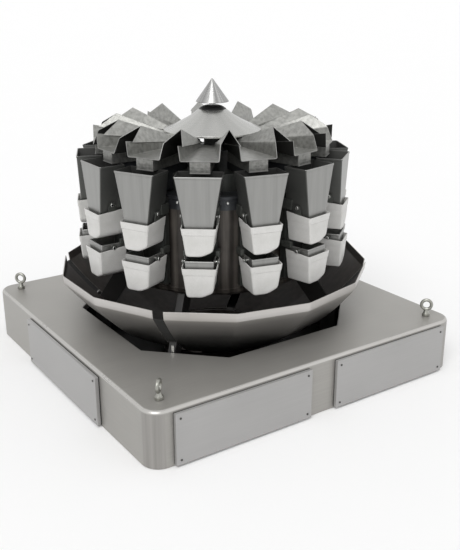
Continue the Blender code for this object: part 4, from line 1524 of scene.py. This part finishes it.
@dataclass
class FeederPans:
    """The radial feeder pans, each with the ridge that covers the gap to the next."""

    layout: Layout
    inner: float = 0.140
    outer: float = 0.405
    floor: float = 0.779
    sheet: float = 0.0024
    sheet_edge: float = 0.0005
    folds: Pair = (0.0016, 0.004)
    steps: int = 6
    sharp: float = 25
    floor_angle: float = radians(8.2)
    wall_angle: float = radians(9.0)
    wall_rise: Pair = (0.005, 0.046)
    ridge_angle: float = radians(14.4)
    drip_angle: float = radians(18.0)
    foot_rise: Pair = (0.009, 0.047)
    drip_rise: Pair = (0.009, 0.040)
    foot_outer: float = 0.386
    peak_rise: Pair = (0.014, 0.082)
    peak_outer: float = 0.325
    stand: Pair = (0.215, 0.396)
    stand_width: float = 0.062
    stand_low: float = 0.7413
    stand_edge: float = 0.002
    stand_gap: float = 0.0002
    strip: Pair = (0.392, 0.3972)
    strip_height: float = 0.003
    strip_edge: float = 0.0006
    hub: Pair = (0.126, 0.156)
    hub_thickness: float = 0.014
    # The first, usual finish is near black painted shade, for the lower face of each pan sheet and for the
    # hub ring.
    finishes: tuple[Finish, ...] = (PAN_BELOW_SHADE, SHEET_EDGE, STAND_STEEL, PAN_STEEL)

    def section(self, end: int) -> Ring:
        """The folded sheet of a pan and its ridge at one end.

        Args:
            end: 0 for the inner end, 1 for the outer one.

        Returns:
            The points across the sheet.
        """
        wide = (self.inner, self.outer)[end]
        foot = (self.inner, self.foot_outer)[end]
        peak = (self.inner, self.peak_outer)[end]
        corners = [polar(wide, -self.wall_angle, self.floor + self.wall_rise[end]),
                   polar(wide, -self.floor_angle, self.floor), polar(wide, self.floor_angle, self.floor),
                   polar(foot, self.wall_angle, self.floor + self.foot_rise[end]),
                   polar(peak, self.ridge_angle, self.floor + self.peak_rise[end]),
                   polar(foot, self.drip_angle, self.floor + self.drip_rise[end])]
        return softened(corners, self.folds[end])

    def pan_mesh(self) -> Mesh:
        """One pan with its ridge, and the foot that stands on its drive.

        Returns:
            The mesh, along the x axis.
        """
        sheet = Draft(*self.finishes)
        ends = list(zip(self.section(0), self.section(1)))
        rows = [[inner.lerp(outer, step / self.steps) for inner, outer in ends]
                for step in range(self.steps + 1)]
        sheet.skin(rows, closed=False)
        shell = thickened(sheet.mesh("pan_sheet", outward=False, sharp=self.sharp), self.sheet, 0.0,
                          inside=sheet.number(PAN_STEEL), rim=sheet.number(SHEET_EDGE),
                          edge=self.sheet_edge)
        draft = Draft(*self.finishes)
        half, low = self.stand_width / 2, self.stand_low
        draft.box((self.stand[0], -half, low), (self.stand[1], half, self.floor - self.stand_gap),
                  STAND_STEEL, self.stand_edge)
        draft.box((self.strip[0], -half, low), (self.strip[1], half, low + self.strip_height),
                  SHEET_EDGE, self.strip_edge)
        draft.take(shell)
        return draft.mesh("pan", sharp=self.sharp)

    def build(self) -> None:
        """Makes the pans and dresses them."""
        draft = Draft(*self.finishes)
        (inner, outer), high = self.hub, self.floor
        low = high - self.hub_thickness
        draft.lathe(((inner, high), (outer, high), (outer, low), (inner, low), (inner, high)))
        for number in range(self.layout.heads):
            pan = Draft(*self.finishes)
            pan.take(self.pan_mesh())
            pan.turn(self.layout.turned(number))
            draft.take(pan.mesh("pan", sharp=self.sharp))
        piece("pan_ring", settled(draft.mesh("pan_ring", sharp=self.sharp)),
              stands_for=("feeder_pans",))


@dataclass
class Cones:
    """The dispersion cone that spreads the product over the pans, and the small cone on it."""

    rim_radius: float = 0.165
    rim_height: float = 0.812
    rise: float = 0.0785
    lip: float = 0.006
    roll: float = 0.0006
    roll_drop: float = 0.0012
    sheet: float = 0.003
    curve_steps: int = 5
    sides: int = 128
    shadow_radius: float = 0.046
    shadow_proud: float = 0.0008
    shadow_drop: float = 0.0025
    shadow_edge: float = 0.001
    shadow_sides: int = 64
    boss_radius: float = 0.040
    boss_foot: float = 0.8003
    shoulders: tuple[Pair, ...] = ((0.08, 0.994), (0.22, 0.924), (0.46, 0.56), (0.76, 0.22))
    cap_base: float = 0.902
    cap_line: tuple[Pair, ...] = (
        (0.0, 0.075), (0.0022, 0.0745), (0.0042, 0.0728), (0.0056, 0.0702), (0.0550, 0.0022),
        (0.0556, 0.0012), (0.0552, 0.0), (0.0526, 0.0))
    cap_stem: float = 0.011
    cap_neck: float = 0.004
    cap_overlap: float = 0.001

    def cone_mesh(self) -> Mesh:
        """The dispersion cone, a spun sheet on a boss, with a black disc under the small cone that paints
        its shadow and dark reflection.

        Returns:
            The mesh, in place.
        """
        shape = ((0.0, 1.0), *self.shoulders, (1.0, 0.0))
        outside = smooth_line([Vector((self.rim_radius * out, self.rim_height + self.rise * up))
                               for out, up in shape], self.curve_steps)
        wide, edge = self.rim_radius - self.sheet, self.rim_radius + self.roll
        lip = self.rim_height - self.lip
        under = [point - Vector((0, self.sheet)) for point in outside
                 if self.boss_radius < point.x < wide][::-1]
        draft = Draft(CONE_STEEL, CAP_SHADOW_DISC)
        draft.lathe((*outside, (edge, self.rim_height - self.roll_drop), (edge, lip), (wide, lip),
                     (wide, self.rim_height - self.sheet), *under, (self.boss_radius, under[-1].y),
                     (self.boss_radius, self.boss_foot), (0, self.boss_foot)), steps=self.sides)
        # A black disc laid just proud of the top of the cone: the painted shadow and dark reflection of the
        # small cone above it.
        shadow_line = [point + Vector((0, self.shadow_proud)) for point in outside if point.x < self.shadow_radius]
        foot = shadow_line[-1].y - self.shadow_drop
        draft.lathe((*shadow_line, (self.shadow_radius, foot), (self.shadow_radius, foot - self.shadow_edge)),
                    CAP_SHADOW_DISC, self.shadow_sides)
        return settled(draft.mesh("dispersion_sheet"))

    def cap_mesh(self) -> Mesh:
        """The small pointed cone on its stem.

        Returns:
            The mesh, in place.
        """
        foot = self.rim_height + self.rise - self.cap_overlap
        draft = Draft(CAP_STEEL)
        draft.lathe((*((radius, self.cap_base + up) for radius, up in self.cap_line),
                     (self.cap_stem, self.cap_base + self.cap_neck), (self.cap_stem, foot), (0, foot)))
        return settled(draft.mesh("pointed_cap"))

    def build(self) -> None:
        """Makes both cones and dresses them."""
        piece("dispersion_sheet", self.cone_mesh(), stands_for=("dispersion_cone",))
        piece("pointed_cap", self.cap_mesh(), stands_for=("top_cone",))


@dataclass
class WeighHeads:
    """The fixed part of each head: drive case, feed chute, weigh hopper body and gate pins."""

    layout: Layout
    sheet: float = 0.0025
    case: Pair = (0.3403, 0.366)
    case_half_width: float = 0.046
    case_heights: Pair = (0.372, 0.655)
    case_edge: float = 0.003
    cover: float = 0.004
    cover_overlap: float = 0.001
    cover_inset: float = 0.003
    cover_edge: float = 0.0015
    chute_heights: Pair = (0.575, 0.745)
    chute_half_widths: Pair = (0.0412, 0.0710)
    chute_fronts: Pair = (0.452, 0.457)
    chute_backs: Pair = (0.363, 0.3715)
    chute_corner: float = 0.004
    least_corner: float = 0.0012
    side_turn: float = 0.6
    unshaded_front: float = 0.010
    hem: float = 0.006
    hem_step: float = 0.001
    hem_round: float = 0.0012
    hem_proud: float = 0.0010
    mouth: Pair = (0.2, 0.8)
    notch_half_width: float = 0.034
    notch_low: float = 0.738
    notch_sheets: int = 3
    band_heights: Pair = (0.448, 0.488)
    band_half_widths: Pair = (0.0416, 0.0447)
    band_front: float = 0.455
    band_back: float = 0.363
    band_hem: float = 0.005
    band_round: float = 0.001
    band_proud: float = 0.0008
    pin_radius: float = 0.0040
    pin_reach: float = 0.0035
    pool_pin: Pair = (0.0487, 0.0562)
    weigh_pin: Pair = (0.0440, 0.0536)
    button_radius: float = 0.0060
    button_gap: float = 0.0008
    button_round: float = 0.0012
    bracket_depth: float = 0.012
    bracket_front: float = 0.392
    bracket_reach: Pair = (0.044, 0.056)
    bracket_heights: tuple[Pair, ...] = ((0.608, 0.640), (0.4835, 0.502))
    bracket_edge: float = 0.0012
    finishes: tuple[Finish, ...] = (CHUTE_STEEL, SHEET_EDGE, CASE_DARK, FASTENER, CHUTE_INNER_SHADE, CHUTE_FLANK_REFLECTION,
                                    BRACKET_GREY)

    def tube_ring(self, back: float, front: float, half: float, z: float, inset: float) -> Ring:
        """A rounded rectangle round the head, drawn in by an inset."""
        low, high = Vector((back + inset, -half + inset)), Vector((front - inset, half - inset))
        return rounded_rectangle(low, high, z, max(self.chute_corner - inset, self.least_corner))

    def chute_level(self, z: float, inset: float) -> Ring:
        """The outline of the feed chute at a height.

        Args:
            z: The height.
            inset: How far it is drawn in.

        Returns:
            The ring of points.
        """
        share = (z - self.chute_heights[0]) / (self.chute_heights[1] - self.chute_heights[0])
        return self.tube_ring(mixed(*self.chute_backs, share), mixed(*self.chute_fronts, share),
                              mixed(*self.chute_half_widths, share), z, inset)

    def chute(self) -> Mesh:
        """The feed chute, open at both ends, with a hem round its mouth. Its inside, and its rim except
        along the front, are near black as painted shade, and its side faces are darker as painted
        reflection.

        Returns:
            The mesh, in the head's own frame.
        """
        draft = Draft(*self.finishes)
        low, high = self.chute_heights
        proud, bend = -self.hem_proud, high - self.hem_round
        outer, inner = (share * size for share, size in zip(self.mouth, (proud, self.sheet)))
        hem, bright = high - self.hem, self.chute_fronts[0] - self.unshaded_front
        outside = [(low, 0.0), (hem - self.hem_step, 0.0), (hem, proud), (bend, proud)]
        levels = [*outside, (high, outer), (high, inner), (bend, self.sheet), (low, self.sheet)]
        rings = [self.chute_level(z, inset) for z, inset in levels]
        # Outer faces turned to the side take a darker painted reflection of the neighbouring chutes; the
        # inside, and the rim except for a strip along the front, take near black painted shade, and that
        # front strip keeps the plain edge colour.
        for number, face in enumerate(draft.skin([*rings, rings[0]])):
            face.normal_update()
            row = number // len(rings[0])
            if row < len(outside) - 1:
                draft.dress(face, CHUTE_FLANK_REFLECTION if abs(face.normal.y) > self.side_turn else CHUTE_STEEL)
            elif row == len(rings) - 2 or face.calc_center_median().x <= bright:
                draft.dress(face, CHUTE_INNER_SHADE)
            else:
                draft.dress(face, SHEET_EDGE)
        return draft.mesh("chute")

    def notched(self, mesh: Mesh) -> Mesh:
        """The chute with a notch for the pan's foot cut out of its back wall.

        Args:
            mesh: The chute, which is used up.

        Returns:
            The new mesh.
        """
        cutter = Draft()
        deep, top = self.chute_backs[1] + self.notch_sheets * self.sheet, self.chute_heights[1] + self.hem
        cutter.box((self.case[0], -self.notch_half_width, self.notch_low),
                   (deep, self.notch_half_width, top))
        tool = linked("notch_tool", cutter.mesh("notch_tool"))
        made = modified(mesh, ("BOOLEAN", {"operation": "DIFFERENCE", "object": tool, "solver": "EXACT"}))
        used = tool.data
        bpy.data.objects.remove(tool)
        bpy.data.meshes.remove(used)
        return made

    def band(self, draft: Draft) -> None:
        """The steel body of the weigh hopper, open at both ends.

        Args:
            draft: The head in the making.
        """
        low, high = self.band_heights
        hem, bend, proud = high - self.band_hem, high - self.band_round, -self.band_proud
        levels = ((low, 0.0), (hem - self.band_round, 0.0), (hem, proud), (bend, proud), (high, 0.0),
                  (high, self.sheet * self.mouth[1]), (bend, self.sheet), (low, self.sheet))
        rings = [self.tube_ring(self.band_back, self.band_front,
                                mixed(*self.band_half_widths, (z - low) / (high - low)), z, inset)
                 for z, inset in levels]
        draft.skin([*rings, rings[0]])

    def case_block(self, draft: Draft) -> None:
        """The drive case with its cover, and the brackets that carry the hoppers.

        Args:
            draft: The head in the making.
        """
        back, front = self.case
        half, inset = self.case_half_width, self.cover_inset
        low, high = self.case_heights
        seam = front - self.cover
        draft.box((back, -half, low), (seam, half, high), CASE_DARK, self.case_edge)
        draft.box((seam - self.cover_overlap, inset - half, low + inset),
                  (front, half - inset, high - inset), CASE_DARK, self.cover_edge)
        for side in (1, -1):
            inner, outer = sorted(side * y for y in self.bracket_reach)
            for bracket_low, bracket_high in self.bracket_heights:
                draft.box((front - self.bracket_depth, inner, bracket_low),
                          (self.bracket_front, outer, bracket_high), BRACKET_GREY, self.bracket_edge)

    def pins(self, draft: Draft) -> None:
        """The four gate pins, each with a bright button head.

        Args:
            draft: The head in the making.
        """
        places = ((self.layout.pool_pivot, *self.pool_pin), (self.layout.weigh_pivot, *self.weigh_pin))
        for z, wall, ear in places:
            for side in (1, -1):
                start, neck, end = (Vector((self.layout.pivot_radius, side * y, z)) for y in (
                    wall - self.sheet, ear + self.button_gap, ear + self.pin_reach))
                draft.rod(start, end, self.pin_radius, FASTENER)
                draft.rod(neck, end, self.button_radius, FASTENER, edge=self.button_round)

    def head_mesh(self) -> Mesh:
        """The fixed part of one head.

        Returns:
            The mesh, in the head's own frame.
        """
        draft = Draft(*self.finishes)
        draft.take(self.notched(self.chute()))
        self.band(draft)
        self.case_block(draft)
        self.pins(draft)
        return settled(draft.mesh("head_frame"))

    def build(self) -> None:
        """Makes the heads and dresses them."""
        mesh = self.head_mesh()
        for number in range(self.layout.heads):
            piece(f"head_frame_{number + 1:02d}", mesh, place=self.layout.turned(number),
                  stands_for=(f"weigh_head_{number + 1:02d}",))


@dataclass
class HopperTub:
    """One kind of white hopper gate: a tub that hangs from two ears."""

    name: str
    pivot_radius: float
    pivot: float
    rim: float
    foot: float
    rim_front: float
    foot_front: float
    rear: float = 0.372
    rear_rise: float = 0.009
    rim_half_width: float = 0.0525
    foot_half_width: float = 0.0400
    flat_end: float = 0.008
    slope_rise: float = 0.016
    sheet: float = 0.0025
    sheet_edge: float = 0.0006
    bend: float = 0.009
    corner: float = 0.006
    corner_steps: int = 4
    lip_start: float = 0.010
    sharp: float = 40
    whole_sharp: float = 38
    fold: float = 0.020
    fold_bend: float = 0.0015
    fold_reach: float = 0.0005
    fold_proud: float = 0.0013
    near: float = 0.001
    ear_half_width: float = 0.0115
    ear_spread: float = 0.003
    ear_root: float = 0.010
    ear_above_pin: float = 0.009
    ear_pad: float = 0.0006
    ear_edge: float = 0.0007
    ear_steps: int = 12
    finishes: tuple[Finish, ...] = (HOPPER_WHITE, BRACKET_GREY)

    def half_width(self, z: float) -> float:
        """Half the outer width in line with the sides, at a height."""
        return mixed(self.foot_half_width, self.rim_half_width, (z - self.foot) / (self.rim - self.foot))

    def front(self, z: float) -> float:
        """x of the front at a height."""
        return mixed(self.foot_front, self.rim_front, (z - self.foot) / (self.rim - self.foot))

    def section(self) -> Ring:
        """The folded sheet from rim to rim, seen along the head, with the sloped end of its floor.

        Returns:
            The points across the tub.
        """
        slope_top = self.foot + self.slope_rise
        corners = ((-self.rim_half_width, self.rim), (-self.foot_half_width, self.foot),
                   (self.flat_end, self.foot), (self.half_width(slope_top), slope_top),
                   (self.rim_half_width, self.rim))
        return softened([Vector((0, y, z)) for y, z in corners], self.bend)

    def shell(self) -> Mesh:
        """The tub itself: one folded sheet, closed by a front with round corners, and a proud rim.

        Returns:
            The mesh, in the head's own frame.
        """
        draft = Draft(*self.finishes)
        front = [Vector((self.front(point.z), point.y, point.z)) for point in self.section()]
        rear = [Vector((self.rear, point.y, point.z)) for point in self.section()]
        draft.skin([front, rear], closed=False)
        draft.face(front)
        solid = draft.solid
        bmesh.ops.remove_doubles(solid, verts=solid.verts, dist=MERGE_DISTANCE)
        bmesh.ops.recalc_face_normals(solid, faces=solid.faces)
        lip = [edge for edge in solid.edges if len(edge.link_faces) == 2
               and all(vert.co.x > self.rear + self.lip_start for vert in edge.verts)]
        bmesh.ops.bevel(solid, geom=lip, offset=self.corner, segments=self.corner_steps, affect="EDGES",
                        profile=ROUND_PROFILE)
        self.raise_rear(solid)
        self.push_rim(solid)
        return thickened(draft.mesh("tub", sharp=self.sharp), self.sheet, -1.0, edge=self.sheet_edge)

    def raise_rear(self, solid: bmesh.types.BMesh) -> None:
        """Lets the rim rise towards the rear.

        Args:
            solid: The tub in the making.
        """
        top = self.rim + self.rear_rise
        spread = self.half_width(top) / self.half_width(self.rim)
        for vert in solid.verts:
            if vert.co.x < self.rear + self.near and vert.co.z > self.rim - self.near:
                vert.co = Vector((vert.co.x, vert.co.y * spread, top))

    def push_rim(self, solid: bmesh.types.BMesh) -> None:
        """Sets the sheet above the fold proud of the rest.

        Args:
            solid: The tub in the making.
        """
        fold = self.rim - self.fold
        for height in (fold, fold - self.fold_bend):
            bmesh.ops.bisect_plane(solid, geom=[*solid.verts, *solid.edges, *solid.faces],
                                   dist=MERGE_DISTANCE / 2, plane_co=(0, 0, height), plane_no=(0, 0, 1))
        solid.normal_update()
        moves = [(vert, Vector((*vert.normal.xy, 0)).normalized()) for vert in solid.verts
                 if vert.co.z > fold - self.fold_reach]
        for vert, way in moves:
            vert.co += way * self.fold_proud

    def ear(self, side: int) -> Mesh:
        """An ear with a round top, in line with the side of the tub.

        Args:
            side: 1 or -1, for the side of the head.

        Returns:
            The mesh, in the head's own frame.
        """
        wide, root = self.ear_half_width, self.rim - self.ear_root
        middle = self.pivot + self.ear_above_pin - wide
        top = circle(wide, 0.0, 2 * self.ear_steps)[:self.ear_steps + 1]
        outline = [(-wide - self.ear_spread, root), (wide + self.ear_spread, root),
                   *((point.x, middle + point.y) for point in top)]
        rings = [[Vector((self.pivot_radius + x, side * (self.half_width(z) + depth), z))
                  for x, z in outline] for depth in (self.ear_pad, -self.sheet - self.ear_pad)]
        draft = Draft(*self.finishes)
        draft.block(rings, BRACKET_GREY, self.ear_edge)
        return draft.mesh("ear")

    def mesh(self) -> Mesh:
        """The whole gate.

        Returns:
            The mesh, in the head's own frame.
        """
        draft = Draft(*self.finishes)
        draft.take(self.shell())
        for side in (1, -1):
            draft.take(self.ear(side))
        return settled(draft.mesh(self.name, sharp=self.whole_sharp))


@dataclass
class HopperGates:
    """The two rings of white hopper gates."""

    layout: Layout
    pool_heights: Pair = (0.503, 0.592)
    pool_fronts: Pair = (0.4595, 0.4635)
    weigh_heights: Pair = (0.3725, 0.4677)
    weigh_fronts: Pair = (0.4590, 0.4655)

    def build(self) -> None:
        """Makes the gates and dresses them."""
        kinds = (("pool", self.layout.pool_pivot, self.pool_heights, self.pool_fronts),
                 ("weigh", self.layout.weigh_pivot, self.weigh_heights, self.weigh_fronts))
        for kind, pivot, (foot, rim), (foot_front, rim_front) in kinds:
            tub = HopperTub(f"{kind}_tub", self.layout.pivot_radius, pivot, rim, foot, rim_front,
                            foot_front)
            mesh = tub.mesh()
            for number in range(self.layout.heads):
                node = f"{kind}_gate_{number + 1:02d}"
                piece(f"{kind}_tub_{number + 1:02d}", mesh, body=node,
                      place=self.layout.turned(number), stands_for=(node,))


@dataclass
class Studio:
    """A pale floor, soft light and the camera of the photograph."""

    floor_radius: float = 150.0
    floor_middle: float = 1.5
    floor_sides: int = 64
    floor_drop: float = 0.0005
    camera_place: Triple = (-1.4814, -2.2835, 1.2577)
    heading: float = 0.5966
    pitch: float = 0.3437
    roll: float = -0.0029
    lens: float = 52.41
    sensor: float = 36.0
    sight: float = 600.0
    ambient: float = 0.65
    suns: tuple[tuple[str, float, Triple, float], ...] = (
        ("key_light", 1.45, (-0.75, -0.65, 1.1), 40), ("fill_light", 0.18, (0.9, -0.9, 0.8), 60))

    def floor(self) -> None:
        """The floor."""
        draft = Draft(FLOOR_PALE)
        middle = circle(self.floor_middle, 0.0, self.floor_sides)
        draft.skin([circle(self.floor_radius, 0.0, self.floor_sides), middle])
        draft.face(middle)
        item = linked("studio_floor", draft.mesh("studio_floor", outward=False))
        item.location.z = -self.floor_drop

    def light(self) -> None:
        """An even white world with two broad, soft suns."""
        world = bpy.data.worlds.new("studio")
        world.use_nodes = True
        graph = Graph(world.node_tree)
        path = graph.node("ShaderNodeLightPath")
        camera, glossy, clear = (Signal(graph, path.outputs[name])
                                 for name in ("Is Camera Ray", "Is Glossy Ray", "Is Transmission Ray"))
        strength = self.ambient + (1.0 - self.ambient) * camera.or_more(glossy).or_more(clear)
        background = graph.node("ShaderNodeBackground", {}, {"Color": (1, 1, 1, 1), "Strength": strength})
        graph.node("ShaderNodeOutputWorld", {}, {"Surface": background.outputs[0]})
        bpy.context.scene.world = world
        for name, energy, way, width in self.suns:
            lamp = bpy.data.lights.new(name, "SUN")
            lamp.energy = energy
            lamp.angle = radians(width)
            linked(name, lamp).rotation_euler = Vector(way).to_track_quat("Z", "Y").to_euler()

    def camera(self) -> None:
        """The camera, placed as a fit to the photograph gives it."""
        data = bpy.data.cameras.new("camera")
        data.lens = self.lens
        data.sensor_width = self.sensor
        data.clip_end = self.sight
        item = linked("camera", data)
        ahead = polar(cos(self.pitch), pi / 2 - self.heading, -sin(self.pitch))
        turn = ahead.to_track_quat("-Z", "Y").to_matrix().to_4x4() @ Matrix.Rotation(self.roll, 4, "Z")
        item.matrix_world = Matrix.Translation(self.camera_place) @ turn
        bpy.context.scene.camera = item

    def build(self) -> None:
        """Makes the studio."""
        self.floor()
        self.light()
        self.camera()
        bpy.context.scene.view_settings.view_transform = "Standard"


def main() -> None:
    """Builds every sub-assembly in order."""
    logging.basicConfig(level=logging.INFO, format="%(message)s")
    layout = Layout.read(frame["joints"])
    assemblies = (BaseHousing(layout), LiftingEyes(layout), DischargeFunnel(), CollectingBowl(layout),
                  CentreBody(layout), FeederPans(layout), Cones(), WeighHeads(layout), HopperGates(layout),
                  Studio())
    for assembly in assemblies:
        assembly.build()
        LOG.info("built %s", type(assembly).__name__)


if __name__ == "__main__":
    main()
